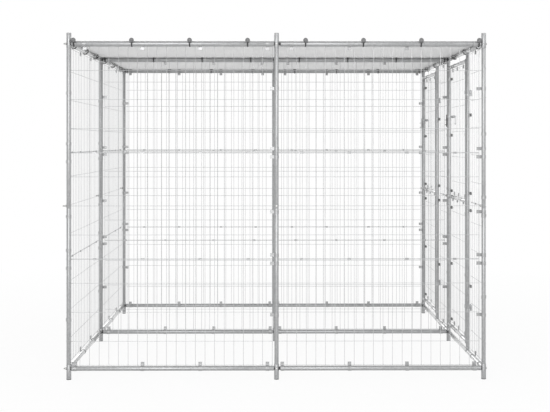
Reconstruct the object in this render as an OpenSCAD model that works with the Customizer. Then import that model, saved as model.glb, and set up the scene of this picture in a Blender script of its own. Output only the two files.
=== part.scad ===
// Outdoor dog kennel: two runs, one behind the other, in galvanised tube and welded wire.
// The origin is on the ground under the middle post. X runs right, Y to the rear, Z up.

/* [Overall] */
// Distance between neighbouring post axes, both ways
bay = 1090; // [800:10:1400]
// Height of the posts
post_h = 1820; // [1500:10:2200]
// Height of the bottom rail axis
low_rail_z = 58; // [50:1:80]
// Distance from the post top down to the top rail axis
top_rail_drop = 58; // [50:1:80]

/* [Tubes] */
// Outside diameter of posts, jambs and door stiles
post_d = 22; // [18:0.5:30]
// Outside diameter of the wall rails
rail_d = 25; // [20:0.5:32]
// Outside diameter of the door rails
door_rail_d = 20; // [16:0.5:26]
// Wall thickness of every tube
tube_wall = 1.2; // [0.8:0.1:2]
// Wall thickness of the connector sleeves on the post ends
sleeve_wall = 1.55; // [1:0.05:3]
// Length of a connector sleeve
sleeve_len = 76; // [72:1:100]
// Length of the spigot inside a post joint
spigot_len = 120; // [80:1:200]
// Length of a rail end insert inside the rail
insert_len = 40; // [20:1:80]
// Gap between a rail end and its connector
rail_gap = 1.5; // [0.5:0.5:6]
// The same gap at the near end of the front right rails, where the insert shows
wide_rail_gap = 9.5; // [0.5:0.5:12]

/* [Wire sheets] */
// Width across the ridges of a wire
wire_d = 2.5; // [1.5:0.1:4]
// Distance between upright wires
col_pitch = 50.6; // [25:0.1:80]
// Distance between cross wires
row_pitch = 153; // [80:1:200]
// Gap between a rail and the end of the next wall's edge wire, which lies beside it at the post
edge_clear = 0.05; // [0.02:0.01:3]
// Gap between the edge wires of two stacked sheets
sheet_clear = 0.5; // [0.4:0.1:3]
// Distance from the hidden edge wire of a bay to its post axis
hidden_edge = 5; // [4:0.5:10]
// Gap between the tubes and the upright wires in front of them
mesh_clear = 0.25; // [0.2:0.05:2]

/* [Clips] */
// Height of a clip on a post
clip_h = 17; // [12:0.5:19]
// Width of a clip on a rail
rail_clip_w = 19; // [12:0.5:24]
// Thickness of the clip strap
clip_t = 1.2; // [0.8:0.1:1.6]
// Width of a clip that ties two sheets together
tie_w = 18; // [10:0.5:24]
// Diameter of a clip screw
screw_d = 4; // [3:0.5:5]

/* [Doors] */
// Distance from the front post of a bay to its door jamb
jamb_u = 445; // [380:1:600]
// Gap between a door stile and the jamb or post beside it
door_gap = 6; // [6:0.5:12]
// Height of the door's end rails above and below the wall rails' axes
door_rail_drop = 52; // [45:1:80]
// Distance from the door's end rails to its hinges
hinge_inset = 190; // [180:1:220]
// Diameter of a hinge pin
pin_d = 8; // [6:0.5:9]
// Diameter of the latch bolt
latch_d = 10; // [8:0.5:11]
// Travel of the latch bolt
latch_travel = 32; // [28:1:34]
// Height of the latch bolt above the middle of the door's upper half
latch_rise = 95; // [75:1:120]

/* [Roof] */
// Thickness of the roof sheet
roof_t = 1; // [0.5:0.1:2]
// Diameter of a bungee ball
ball_d = 25; // [18:0.5:28]
// Diameter of the bungee cord
cord_d = 4; // [3:0.5:4]
// Number of bungees along each of the front, middle and rear rails
bungee_count = 8; // [4:2:14]
// Gap between a corner connector and the ball next to it
bungee_clear = 0.8; // [0.5:0.1:40]

/* [Fasteners] */
// Diameter of the frame bolts
bolt_d = 8; // [6:0.5:9]
// Length of the studs that stand out of the left posts at mid height
long_stud = 21; // [12:1:30]
// Length of the studs that stand out of the left connectors
short_stud = 15; // [10:1:25]

/* [Hidden] */
$fn = 48;

// Clearances
slip = 0.15;
seat = 0.3;
hole_slack = 0.2;
running = 0.05;
clip_slack = 0.2;
ear_gap = 0.15;
// How far a cutting tool passes a face
over = 1;

// Tubes
post_r = post_d / 2;
rail_r = rail_d / 2;
door_rail_r = door_rail_d / 2;
post_bore_r = post_r - tube_wall;
rail_bore_r = rail_r - tube_wall;
sleeve_bore_r = post_r + slip;
sleeve_r = sleeve_bore_r + sleeve_wall;
spigot_r = post_bore_r - slip;
spigot_wall = 2.5;
insert_step = 2;
// The necks of two inserts stay apart where rails meet at a corner
insert_neck_r = min(rail_bore_r - insert_step, (sleeve_r + slip) / sqrt(2) - slip);
rail_start = rail_r + seat;
plug_flange = 3;
plug_depth = 25;
high_rail_z = post_h - top_rail_drop;
rail_levels = [low_rail_z, high_rail_z];

// Wire sheets: three stacked on a full bay, two on a fixed panel and on a door
wire_r = wire_d / 2;
weld_depth = 0.3;
lap = wire_d - weld_depth;
mesh_n = max(rail_r, sleeve_r) + mesh_clear + wire_r;
cross_n = mesh_n + lap;
edge_drop = sqrt(pow(rail_r, 2) - pow(hidden_edge - wire_r, 2)) + wire_r + edge_clear;
sheet_gap = wire_d + sheet_clear;
row_margin = 75;
least_tab = 20;
// A panel's edge wire stays clear of the clips that the next wall has on the same post
least_panel_edge = ear_out(mesh_n) + clip_t + wire_r + seat;
least_door_edge = 14;
panel_joint_drop = 5;
stack_z0 = low_rail_z + edge_drop;
stack_z1 = high_rail_z - edge_drop;
strip_h = (stack_z1 - stack_z0 - 2 * sheet_gap) / 3;
strips = [for (i = [0:2]) stack_z0 + i * (strip_h + sheet_gap)];
strip_mids = [for (z = strips) z + strip_h / 2];
strip_joints = [for (i = [1:2]) strips[i] - sheet_gap / 2];
bay_cols = floor((bay - hidden_edge - least_tab) / col_pitch);
side_edge = (bay - bay_cols * col_pitch) / 2;
panel_joint = (stack_z0 + stack_z1) / 2 - panel_joint_drop;
panel_z = [[stack_z0, panel_joint - sheet_gap / 2], [panel_joint + sheet_gap / 2, stack_z1]];
panel_mids = [for (z = panel_z) (z[0] + z[1]) / 2];
panel_cols = floor((jamb_u - 2 * least_panel_edge) / col_pitch);
panel_edge = (jamb_u - panel_cols * col_pitch) / 2;

// Post joints and bolts
joint_drop = 11;
joint_bolt_rise = 12;
joint_z = strip_mids[1] - joint_drop;
joint_bolt_z = joint_z + joint_bolt_rise;
bolt_r = bolt_d / 2;
nut_h = 6.5;
nut_af = 1.625 * bolt_d;
dome_h = 4.5;
dome_r = 6.5;
inner_stud = 12;
head_root = 0.5;

// Clips on posts hold the upright edge wire, clips on rails the edge cross wire
ear_past = 11.6;
screw_past = 6.1;
web_before = 6.6;
clip_joint = 22;
clip_joint_left = 47;
clip_drop_left = 25;
rail_ear = 30;
rail_screw = 22;
tie_h = 10;
head_h = 2.5;
screw_tip = 1;

// Doors
stile_gap = post_d + door_gap;
stile_cc = bay - jamb_u - 2 * stile_gap;
door_low_z = low_rail_z + door_rail_drop;
door_high_z = high_rail_z - door_rail_drop;
door_mid_z = (door_low_z + door_high_z) / 2;
door_rails = [door_low_z, door_mid_z, door_high_z];
// A door's wires lie just clear of one another, each a piece of its own, so its panes stay open between them
door_cross_n = mesh_n + wire_d + running;
door_z = [for (i = [0:1]) [door_rails[i] + edge_drop, door_rails[i + 1] - edge_drop]];
door_cols = floor((stile_cc - 2 * least_door_edge) / col_pitch);
door_edge = (stile_cc - door_cols * col_pitch) / 2;
drain_r = 2.5;
saddle_w = 30;
saddle_t = 1.5;
band_t = 2;
band_r = post_r + clip_slack;
hinge_levels = [door_low_z + hinge_inset, door_high_z - hinge_inset];
hinge_boss_r = pin_d;
hinge_out = post_r + hinge_boss_r;
hinge_arm_w = 8;
// Part of the boss radius left between the arm's end and the boss axis
arm_overlap = 0.75;
arm_step = 1;
pintle_boss_h = 12;
pintle_pin_h = 24;
eye_h = 20;
latch_z = (door_mid_z + door_high_z) / 2 + latch_rise;
latch_r = latch_d / 2;
latch_clear = 3.2;
latch_wall = 2.7;
guide_back = 30;
guide_front = 8;
keeper_half = 8;
keeper_slack = 0.5;
handle_drop = 45;
handle_r = 4;
handle_gap = 3;
knob_r = handle_r + 2;
latch_tail = guide_back + latch_travel + 2 * handle_r + handle_gap;
latch_tip = stile_gap - 2 * keeper_half;
keeper_plate_t = 3;
latch_out = post_r + seat + keeper_plate_t + head_h + latch_clear + latch_r;
keeper_bolts = [for (drop = [20, 50]) latch_z - drop];
keeper_bolt_r = 3;
keeper_below = 62;
keeper_above = 13;
keeper_low = latch_z - keeper_below;
keeper_top = latch_z + keeper_above;
keeper_half_w = 10;
keeper_stud = 12;

// Roof and bungees
strap_out = rail_r + clip_slack + clip_t;
roof_z = high_rail_z + strap_out + seat;
roof_edge_clear = 1;
roof_split = 1;
notch_clear = 1.5;
roof_notch = sleeve_r + notch_clear;
loop_inner = strap_out + 2 * seat + roof_t;
loop_r = loop_inner + cord_d / 2;
ball_r = ball_d / 2;
ball_reach = rail_r + ball_r + seat;
ball_tilt = 47;
top_ball_reach = roof_z - high_rail_z + roof_t + seat + ball_r;
// Where the inside and the outside of a loop pass through the roof sheet
eyelet_low = sqrt(pow(loop_inner, 2) - pow(strap_out + seat + roof_t, 2));
eyelet_high = sqrt(pow(loop_inner + cord_d, 2) - pow(strap_out + seat, 2));
eyelet_clear = 0.8;
eyelet_in = (eyelet_low + eyelet_high) / 2;
eyelet_r = (eyelet_high - eyelet_low) / 2 + eyelet_clear;
roof_past = eyelet_low - roof_edge_clear;
bungee_start = sleeve_r + ball_r + bungee_clear;
bungee_pitch = 2 * (bay - bungee_start) / (bungee_count - 1);
across = [for (i = [0:bungee_count - 1]) bungee_start + i * bungee_pitch];
side_bungees = [0.13, 0.465, 0.798];
along = [for (i = [0:1], part = side_bungees) (i + part) * bay];

// Colours
zinc = [0.72, 0.73, 0.74];
dark = [0.3, 0.3, 0.31];
grey = [0.83, 0.83, 0.83];

function rows(z0, z1) =
    let (mid = (z0 + z1) / 2, count = floor(((z1 - z0) / 2 - row_margin) / row_pitch))
    concat([z0], [for (i = [-count:count]) mid + i * row_pitch], [z1]);

// Post clips sit either side of each sheet joint and by the middle of each sheet
post_clip_shift = [-13, -31, 58];

function post_clip_z(joint, drop) = concat(
    [for (i = [0:2]) strip_mids[i] + post_clip_shift[i] - drop],
    [for (z = strip_joints, way = [-1, 1]) z + way * joint]
);

// Rail and tie clips sit in gaps between upright wires, counted from the hidden edge
low_clip_gaps = [0, 7, 13, 20];
high_clip_gaps = [1, 7, 13, 20];
tie_gaps = [2, 7, 13, 18];
left_clip_gaps = [5, 12, 19];
left_tie_gaps = [1, 6, 12, 17];

function gap_u(gaps, edge) = [for (k = gaps) edge + col_pitch * (min(k, bay_cols - 1) + 0.5)];

panel_clip_u = [for (k = [1, panel_cols - 3]) panel_edge + col_pitch * (k + 0.5)];
door_clip_u = [for (k = [2, 6, door_cols - 2]) door_edge + col_pitch * (k + 0.5)];

// How a bay's sheets are held: hidden edge, clip heights by the joint and drop, low, high and tie gaps
usual_hold = [hidden_edge, clip_joint, 0, low_clip_gaps, high_clip_gaps, tie_gaps];
left_hold = [side_edge, clip_joint_left, clip_drop_left, left_clip_gaps, left_clip_gaps, left_tie_gaps];

function tab_edge(hold) = bay - hold[0] - bay_cols * col_pitch;

// A bungee that would meet a rail clip or an upright wire moves along its rail to the side of it
clip_room = rail_clip_w / 2 + max(cord_d / 2, sqrt(pow(ball_r, 2) - pow(ball_reach - strap_out, 2))) + seat;
wire_room = wire_r + cord_d / 2 + seat;
panel_wires = [for (k = [0:panel_cols]) panel_edge + k * col_pitch];

function bay_wires(hold) = [for (k = [0:bay_cols]) hold[0] + k * col_pitch];

function along_wall(places, flips) = [for (i = [0:1], u = places) i * bay + (flips[i] ? bay - u : u)];

function beside(u, stops, room) =
    let (hits = [for (stop = stops) if (abs(u - stop) < room) stop])
    len(hits) == 0 ? u : hits[0] + (u < hits[0] ? -room : room);

function bungee_u(places, clips, wires, flips) = [for (u = places)
    beside(beside(u, along_wall(clips, flips), clip_room), along_wall(wires, flips), wire_room)];

function bay_bungees(places, hold, flips) =
    bungee_u(places, gap_u(hold[4], hold[0]), bay_wires(hold), flips);

front_bungees = bay_bungees(across, usual_hold, [false, false]);
back_bungees = bay_bungees(across, usual_hold, [true, false]);
left_bungees = bay_bungees(along, left_hold, [true, true]);
right_bungees = bungee_u(along, panel_clip_u, panel_wires, [false, false]);

// Heights of the clips on the fixed panels and the doors
panel_low_shift = -58;
panel_joint_shift = [-45, 49];
post_high_shift = -38;
jamb_high_shift = 72;
door_foot_shift = 20;
door_mid_shift = -21;
door_head_shift = -58;
panel_clip_z = [
    panel_mids[0] + panel_low_shift,
    panel_z[0][1] + panel_joint_shift[0],
    panel_z[1][0] + panel_joint_shift[1]
];
post_panel_clip_z = concat(panel_clip_z, [panel_mids[1] + post_high_shift]);
jamb_panel_clip_z = concat(panel_clip_z, [panel_mids[1] + jamb_high_shift]);
door_clip_z = [for (z = door_z)
    each [z[0] + door_foot_shift, (z[0] + z[1]) / 2 + door_mid_shift, z[1] + door_head_shift]];

// The two faces between which a clip holds a wire at distance n from the wall plane
function ear_in(n) = n - wire_r - ear_gap;
function ear_out(n) = n + wire_r + ear_gap;

// Each wall is drawn with x along it, y into a run and z up
module on_front() { translate([-bay, -bay, 0]) children(); }
module on_partition() { translate([-bay, 0, 0]) children(); }
module on_rear() { translate([-bay, bay, 0]) mirror([0, 1, 0]) children(); }
module on_left() { translate([-bay, -bay, 0]) rotate(90) mirror([0, 1, 0]) children(); }
module on_right() { translate([bay, -bay, 0]) rotate(90) children(); }

// The wires of the two side walls lie outside their tubes
module outside() { mirror([0, 1, 0]) children(); }

// A flipped bay has its clips on the near post instead of the far one
module in_bay(i, flip = false) {
    translate([i * bay, 0, 0])
        if (flip) translate([bay, 0, 0]) mirror([1, 0, 0]) children();
        else children();
}

// The bays whose three sheets are clipped to posts, each with the way it is held
module each_bay() {
    for (i = [0:1]) {
        $hold = usual_hold;
        on_front() in_bay(i) children();
        on_partition() in_bay(i, i == 0) children();
        on_rear() in_bay(i, i == 0) children();
    }
    for (i = [0:1]) {
        $hold = left_hold;
        on_left() outside() in_bay(i, true) children();
    }
}

module tube(r, wall, h) {
    difference() {
        cylinder(r = r, h = h);
        translate([0, 0, -over]) cylinder(r = r - wall, h = h + 2 * over);
    }
}

module along_x() { rotate([0, 90, 0]) children(); }

// Radial hole from the axis outwards
module radial_hole(r, reach) { along_x() cylinder(r = r, h = reach); }

// Posts

module post(rail_turn, joint_turn, keeper = false) {
    cut_r = bolt_r + hole_slack;
    color(zinc) difference() {
        union() {
            translate([0, 0, plug_flange]) tube(post_r, tube_wall, joint_z - slip - plug_flange);
            translate([0, 0, joint_z + slip]) tube(post_r, tube_wall, post_h - plug_flange - joint_z - slip);
        }
        for (z = rail_levels) translate([0, 0, z]) rotate(rail_turn) radial_hole(cut_r, post_d);
        translate([0, 0, joint_bolt_z]) rotate(joint_turn) radial_hole(cut_r, post_d);
        if (keeper)
            for (z = keeper_bolts)
                translate([-post_d, 0, z]) along_x() cylinder(r = keeper_bolt_r + hole_slack, h = 2 * post_d);
    }
}

// Bolts point left on the left posts, right on the right posts and out of the wall on the rest
module front_left_post() { translate([-bay, -bay, 0]) post(180, 180); }
module front_centre_post() { translate([0, -bay, 0]) post(-90, -90); }
module front_right_post() { translate([bay, -bay, 0]) post(0, 180); }
module middle_left_post() { translate([-bay, 0, 0]) post(180, 180); }
module middle_centre_post() { post(-90, -90); }
module middle_right_post() { translate([bay, 0, 0]) post(0, 180, true); }
module rear_left_post() { translate([-bay, bay, 0]) post(180, 180); }
module rear_centre_post() { translate([0, bay, 0]) post(90, 90); }
module rear_right_post() { translate([bay, bay, 0]) post(0, 180, true); }

// Every post foot, with the turns of its rail bolts and of its joint bolt
module each_post() {
    for (row = [-1:1]) {
        out = row == 1 ? 90 : -90;
        for (side = [-1:1]) {
            $rail_turn = side == 0 ? out : side == 1 ? 0 : 180;
            $joint_turn = side == 0 ? out : 180;
            $side = side;
            translate([side * bay, row * bay, 0]) children();
        }
    }
}

module post_joint_spigots() {
    color(zinc) each_post() difference() {
        translate([0, 0, joint_z - spigot_len / 2]) tube(spigot_r, spigot_wall, spigot_len);
        translate([0, 0, joint_bolt_z]) rotate($joint_turn) radial_hole(bolt_r + running, post_d);
    }
}

module post_connectors() {
    color(zinc) each_post()
        for (end = [[plug_flange, low_rail_z], [post_h - plug_flange - sleeve_len, high_rail_z]])
            difference() {
                translate([0, 0, end[0]]) tube(sleeve_r, sleeve_wall, sleeve_len);
                translate([0, 0, end[1]]) rotate($rail_turn) radial_hole(bolt_r + hole_slack, post_d);
            }
}

module plug() {
    cylinder(r = sleeve_r, h = plug_flange);
    cylinder(r = post_bore_r - slip, h = plug_depth);
}

module post_feet() { color(dark) each_post() plug(); }

module post_caps() { color(grey) each_post() translate([0, 0, post_h]) mirror([0, 0, 1]) plug(); }

// Rails and their end inserts

module rail(z, near_gap) {
    u0 = max(sleeve_r + near_gap, rail_start);
    u1 = bay - max(sleeve_r + rail_gap, rail_start);
    translate([u0, 0, z]) along_x() tube(rail_r, tube_wall, u1 - u0);
}

module rail_pair(near_gap = rail_gap) {
    for (z = rail_levels) rail(z, near_gap);
}

module wall_rails() {
    color(zinc) for (i = [0:1]) in_bay(i) rail_pair();
}

module front_rails() {
    color(zinc) on_front() {
        in_bay(0) rail_pair();
        in_bay(1) rail_pair(wide_rail_gap);
    }
}

module partition_rails() { on_partition() wall_rails(); }
module rear_rails() { on_rear() wall_rails(); }
module left_rails() { on_left() wall_rails(); }
module right_rails() { on_right() wall_rails(); }

module rail_insert(gap) {
    start = max(sleeve_r + gap, rail_start);
    difference() {
        along_x() union() {
            translate([0, 0, post_r / 2]) cylinder(r = insert_neck_r, h = start + over - post_r / 2);
            translate([0, 0, start]) cylinder(r = rail_bore_r - slip, h = insert_len);
        }
        translate([0, 0, -rail_d]) cylinder(r = sleeve_r + slip, h = 2 * rail_d);
    }
}

module rail_inserts(near_gap = rail_gap) {
    for (z = rail_levels) translate([0, 0, z]) {
        rail_insert(near_gap);
        translate([bay, 0, 0]) mirror([1, 0, 0]) rail_insert(rail_gap);
    }
}

module rail_end_inserts() {
    color(dark) {
        on_front() in_bay(0) rail_inserts();
        on_front() in_bay(1) rail_inserts(wide_rail_gap);
        for (i = [0:1]) {
            on_partition() in_bay(i) rail_inserts();
            on_rear() in_bay(i) rail_inserts();
            on_left() in_bay(i) rail_inserts();
            on_right() in_bay(i) rail_inserts();
        }
    }
}

// A jamb stands between the right wall's rails on two saddles
module jamb() {
    saddle_r = rail_r + seat;
    color(zinc) difference() {
        union() {
            translate([0, 0, low_rail_z]) tube(post_r, tube_wall, high_rail_z - low_rail_z);
            for (z = rail_levels)
                translate([-saddle_w / 2, 0, z]) along_x() cylinder(r = saddle_r + saddle_t, h = saddle_w);
        }
        for (z = rail_levels) translate([-saddle_w, 0, z]) along_x() cylinder(r = saddle_r, h = 2 * saddle_w);
        translate([-saddle_w, -rail_d, low_rail_z - rail_d]) cube([2 * saddle_w, 2 * rail_d, rail_d]);
        translate([-saddle_w, -rail_d, high_rail_z]) cube([2 * saddle_w, 2 * rail_d, rail_d]);
    }
}

module front_door_jamb() { on_right() translate([jamb_u, 0, 0]) jamb(); }
module rear_door_jamb() { on_right() translate([bay + jamb_u, 0, 0]) jamb(); }

// Wire sheets: four-sided wires, crossing ridge to ridge so that each wall sheet is one piece
module sheet(cols, z0, z1, n = cross_n) {
    union() {
        for (i = [0:cols])
            translate([i * col_pitch, mesh_n, z0 - wire_r]) cylinder(d = wire_d, h = z1 - z0 + wire_d, $fn = 4);
        for (z = rows(z0, z1))
            translate([-wire_r, n, z]) along_x() cylinder(d = wire_d, h = cols * col_pitch + wire_d, $fn = 4);
    }
}

module bay_mesh(hold = usual_hold) {
    color(zinc) translate([hold[0], 0, 0])
        for (z = strips) sheet(bay_cols, z, z + strip_h);
}

module panel_mesh() {
    color(zinc) translate([panel_edge, 0, 0])
        for (z = panel_z) sheet(panel_cols, z[0], z[1]);
}

module front_left_mesh() { on_front() in_bay(0) bay_mesh(); }
module front_right_mesh() { on_front() in_bay(1) bay_mesh(); }
module partition_left_mesh() { on_partition() in_bay(0, true) bay_mesh(); }
module partition_right_mesh() { on_partition() in_bay(1) bay_mesh(); }
module rear_left_mesh() { on_rear() in_bay(0, true) bay_mesh(); }
module rear_right_mesh() { on_rear() in_bay(1) bay_mesh(); }
module left_front_mesh() { on_left() outside() in_bay(0, true) bay_mesh(left_hold); }
module left_rear_mesh() { on_left() outside() in_bay(1, true) bay_mesh(left_hold); }
module right_front_mesh() { on_right() outside() in_bay(0) panel_mesh(); }
module right_rear_mesh() { on_right() outside() in_bay(1) panel_mesh(); }

// A strap round an upright tube at the origin, with two ears that hold an edge wire towards +x
module upright_clip(edge) {
    inner = ear_in(mesh_n);
    outer = ear_out(mesh_n);
    ring_r = post_r + clip_slack;
    root = ring_r + clip_t / 2;
    length = edge + ear_past;
    web = edge - web_before;
    translate([0, 0, -clip_h / 2]) difference() {
        union() {
            tube(ring_r + clip_t, clip_t, clip_h);
            translate([-clip_t, root, 0]) cube([2 * clip_t, inner - root, clip_h]);
            translate([-clip_t, inner - clip_t, 0]) cube([length + clip_t, clip_t, clip_h]);
            translate([web, outer, 0]) cube([length - web, clip_t, clip_h]);
            translate([web, inner - clip_t, 0]) cube([clip_t, outer - inner + 2 * clip_t, clip_h]);
        }
        translate([edge + screw_past, 0, clip_h / 2]) rotate([-90, 0, 0])
            cylinder(d = screw_d + hole_slack, h = post_d);
    }
}

// The same round a level tube along x, with its ears towards +z
module level_clip(tube_r, n = cross_n) {
    inner = ear_in(n);
    outer = ear_out(n);
    ring_r = tube_r + clip_slack;
    root = ring_r + clip_t / 2;
    web = edge_drop - wire_r - ear_gap - clip_t;
    translate([-rail_clip_w / 2, 0, 0]) difference() {
        union() {
            along_x() tube(ring_r + clip_t, clip_t, rail_clip_w);
            translate([0, root, -clip_t]) cube([rail_clip_w, inner - root, 2 * clip_t]);
            translate([0, inner - clip_t, 0]) cube([rail_clip_w, clip_t, rail_ear]);
            translate([0, outer, web]) cube([rail_clip_w, clip_t, rail_ear - web]);
            translate([0, inner - clip_t, web]) cube([rail_clip_w, outer - inner + 2 * clip_t, clip_t]);
        }
        translate([rail_clip_w / 2, 0, rail_screw]) rotate([-90, 0, 0])
            cylinder(d = screw_d + hole_slack, h = post_d);
    }
}

// A screw through both ears of a clip whose wire lies at distance n
module screw(n) {
    start = ear_in(n) - clip_t - screw_tip;
    seat_y = ear_out(n) + clip_t;
    rotate([-90, 0, 0]) {
        translate([0, 0, start]) cylinder(d = screw_d, h = seat_y - start + head_root);
        translate([0, 0, seat_y]) cylinder(r = screw_d, h = head_h);
    }
}

module upright_screw(edge) { translate([edge + screw_past, 0, 0]) screw(mesh_n); }
module level_screw(n = cross_n) { translate([0, 0, rail_screw]) screw(n); }

// Places on the far post of a bay, looking back along the wall
module at_far_post() { translate([bay, 0, 0]) mirror([1, 0, 0]) children(); }
module turned_down(z) { translate([0, 0, z]) mirror([0, 0, 1]) children(); }

module each_post_clip() {
    each_bay() at_far_post()
        for (z = post_clip_z($hold[1], $hold[2])) translate([0, 0, z]) children(0);
    for (i = [0:1]) on_right() outside() in_bay(i) {
        for (z = post_panel_clip_z) translate([0, 0, z]) children(1);
        for (z = jamb_panel_clip_z) translate([jamb_u, 0, z]) mirror([1, 0, 0]) children(1);
    }
}

module each_rail_clip() {
    each_bay() {
        for (u = gap_u($hold[3], $hold[0])) translate([u, 0, low_rail_z]) children();
        for (u = gap_u($hold[4], $hold[0])) translate([u, 0, 0]) turned_down(high_rail_z) children();
    }
    for (i = [0:1]) on_right() outside() in_bay(i)
        for (u = panel_clip_u) {
            translate([u, 0, low_rail_z]) children();
            translate([u, 0, 0]) turned_down(high_rail_z) children();
        }
}

module post_clips() {
    color(zinc) each_post_clip() {
        upright_clip(tab_edge($hold));
        upright_clip(panel_edge);
    }
}

module rail_clips() { color(zinc) each_rail_clip() level_clip(rail_r); }

module wall_clip_screws() {
    color(dark) {
        each_post_clip() {
            upright_screw(tab_edge($hold));
            upright_screw(panel_edge);
        }
        each_rail_clip() level_screw();
    }
}

// A folded strip that hooks over the two edge wires where sheets meet
module tie_clip() {
    inner = ear_in(cross_n);
    outer = ear_out(cross_n);
    for (y = [inner - clip_t, outer])
        translate([-tie_w / 2, y, -tie_h / 2]) cube([tie_w, clip_t, tie_h]);
    translate([-tie_w / 2, inner - clip_t, tie_h / 2 - clip_t])
        cube([tie_w, outer - inner + 2 * clip_t, clip_t]);
}

module mesh_tie_clips() {
    color(zinc) {
        each_bay() for (z = strip_joints, u = gap_u($hold[5], $hold[0])) translate([u, 0, z]) tie_clip();
        for (i = [0:1]) on_right() outside() in_bay(i)
            for (u = panel_clip_u) translate([u, 0, panel_joint]) tie_clip();
    }
}

// Frame bolts: the x axis points out of the post

module stud(reach, length) {
    translate([bolt_r, 0, 0]) along_x() cylinder(r = bolt_r, h = reach + length - bolt_r);
}

module dome_bolt(reach) {
    dome_sphere = (dome_r * dome_r + dome_h * dome_h) / (2 * dome_h);
    stud(reach, head_root);
    translate([reach + slip, 0, 0]) along_x() intersection() {
        cylinder(r = dome_r, h = dome_h);
        translate([0, 0, dome_h - dome_sphere]) sphere(r = dome_sphere);
    }
}

module frame_bolts() {
    color(zinc) {
        each_post() {
            for (z = rail_levels) translate([0, 0, z]) rotate($rail_turn)
                if ($side == -1) stud(sleeve_r, short_stud);
                else dome_bolt(sleeve_r);
            translate([0, 0, joint_bolt_z]) rotate($joint_turn)
                if ($side == -1) stud(post_r, long_stud);
                else if ($side == 0) dome_bolt(post_r);
                else stud(post_r, inner_stud);
        }
        each_keeper() for (z = keeper_bolts) translate([0, 0, z]) keeper_bolt();
    }
}

module nut(reach) {
    translate([reach + slip, 0, 0]) along_x() difference() {
        cylinder(d = nut_af / cos(30), h = nut_h, $fn = 6);
        translate([0, 0, -over]) cylinder(r = bolt_r + running, h = nut_h + 2 * over);
    }
}

module frame_nuts() {
    color(zinc) each_post() {
        if ($side == -1) for (z = rail_levels) translate([0, 0, z]) rotate($rail_turn) nut(sleeve_r);
        if ($side != 0) translate([0, 0, joint_bolt_z]) rotate($joint_turn) nut(post_r);
    }
}

// Roof

module eyelet(x, y) {
    translate([x, y, roof_z - over]) cylinder(r = eyelet_r, h = roof_t + 2 * over);
}

// The sheet over bay row i, drawn from its front edge to its rear edge
module roof_sheet(i) {
    y0 = i == 0 ? -bay - roof_past : roof_split;
    y1 = i == 0 ? -roof_split : bay + roof_past;
    row_y = (i - 1) * bay;
    color(grey) difference() {
        translate([-bay - roof_past, y0, roof_z]) cube([2 * (bay + roof_past), y1 - y0, roof_t]);
        for (x = [-bay, 0, bay], y = [row_y, row_y + bay])
            translate([x, y, roof_z - over]) cylinder(r = roof_notch, h = roof_t + 2 * over);
        for (u = i == 0 ? front_bungees : back_bungees) eyelet(u - bay, row_y + eyelet_in);
        for (u = back_bungees) eyelet(u - bay, row_y + bay - eyelet_in);
        for (u = left_bungees) if (floor(u / bay) == i) eyelet(eyelet_in - bay, u - bay);
        for (u = right_bungees) if (floor(u / bay) == i) eyelet(bay - eyelet_in, u - bay);
    }
}

module front_roof_sheet() { roof_sheet(0); }
module rear_roof_sheet() { roof_sheet(1); }

// A bungee has its ball on the outer side of its rail, except on the middle rail, where it is on top
module each_bungee() {
    for (u = front_bungees) on_front() translate([u, 0, high_rail_z]) children(0);
    for (u = back_bungees) {
        on_partition() translate([u, 0, high_rail_z]) children(1);
        on_rear() translate([u, 0, high_rail_z]) children(0);
    }
    for (u = left_bungees) on_left() translate([u, 0, high_rail_z]) children(0);
    for (u = right_bungees) on_right() translate([u, 0, high_rail_z]) children(0);
}

module ball(on_top) {
    tilt = on_top ? 90 : ball_tilt;
    reach = on_top ? top_ball_reach : ball_reach;
    translate([0, -reach * cos(tilt), reach * sin(tilt)]) sphere(r = ball_r);
}

// The loop starts and ends on its ball
module loop(on_top) {
    tilt = on_top ? 90 : ball_tilt;
    reach = on_top ? top_ball_reach : ball_reach;
    touch = ball_r + slip + cord_d / 2;
    half = acos((loop_r * loop_r + reach * reach - touch * touch) / (2 * loop_r * reach));
    rotate([180 - tilt + half, 0, 0]) rotate([90, 0, 90])
        rotate_extrude(angle = 360 - 2 * half) translate([loop_r, 0]) circle(d = cord_d);
}

module bungee_loops() {
    color(dark) each_bungee() {
        loop(false);
        loop(true);
    }
}

module bungee_balls() {
    color(dark) each_bungee() {
        ball(false);
        ball(true);
    }
}

// Hinges: the pin stands on a boss that a band on the jamb carries

module hinge_arm(from_u, z, h, boss_turn) {
    reach = norm([hinge_out, stile_gap / 2]);
    root = band_r + band_t / 2;
    tip = reach - arm_overlap * hinge_boss_r;
    translate([from_u, 0, z]) difference() {
        union() {
            tube(band_r + band_t, band_t, h);
            rotate(boss_turn) translate([root, -hinge_arm_w / 2, arm_step])
                cube([tip - root, hinge_arm_w, h - 2 * arm_step]);
            rotate(boss_turn) translate([reach, 0, 0]) cylinder(r = hinge_boss_r, h = h);
        }
        children();
    }
}

hinge_turn = -atan2(hinge_out, stile_gap / 2);

module pintle() {
    hinge_arm(0, -pintle_boss_h - seat, pintle_boss_h, hinge_turn);
    translate([stile_gap / 2, -hinge_out, -seat - over]) cylinder(d = pin_d, h = pintle_pin_h + over);
}

module eye() {
    hinge_arm(stile_gap, 0, eye_h, 180 - hinge_turn)
        translate([-stile_gap / 2, -hinge_out, -over])
            cylinder(d = pin_d + 2 * running, h = eye_h + 2 * over);
}

module hinge_pintles() {
    color(zinc) on_right() for (i = [0:1], z = hinge_levels) translate([i * bay + jamb_u, 0, z]) pintle();
}

// The door, with x from its hinge stile to its latch stile
module at_door(i) { on_right() translate([i * bay + jamb_u + stile_gap, 0, 0]) children(); }

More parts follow.
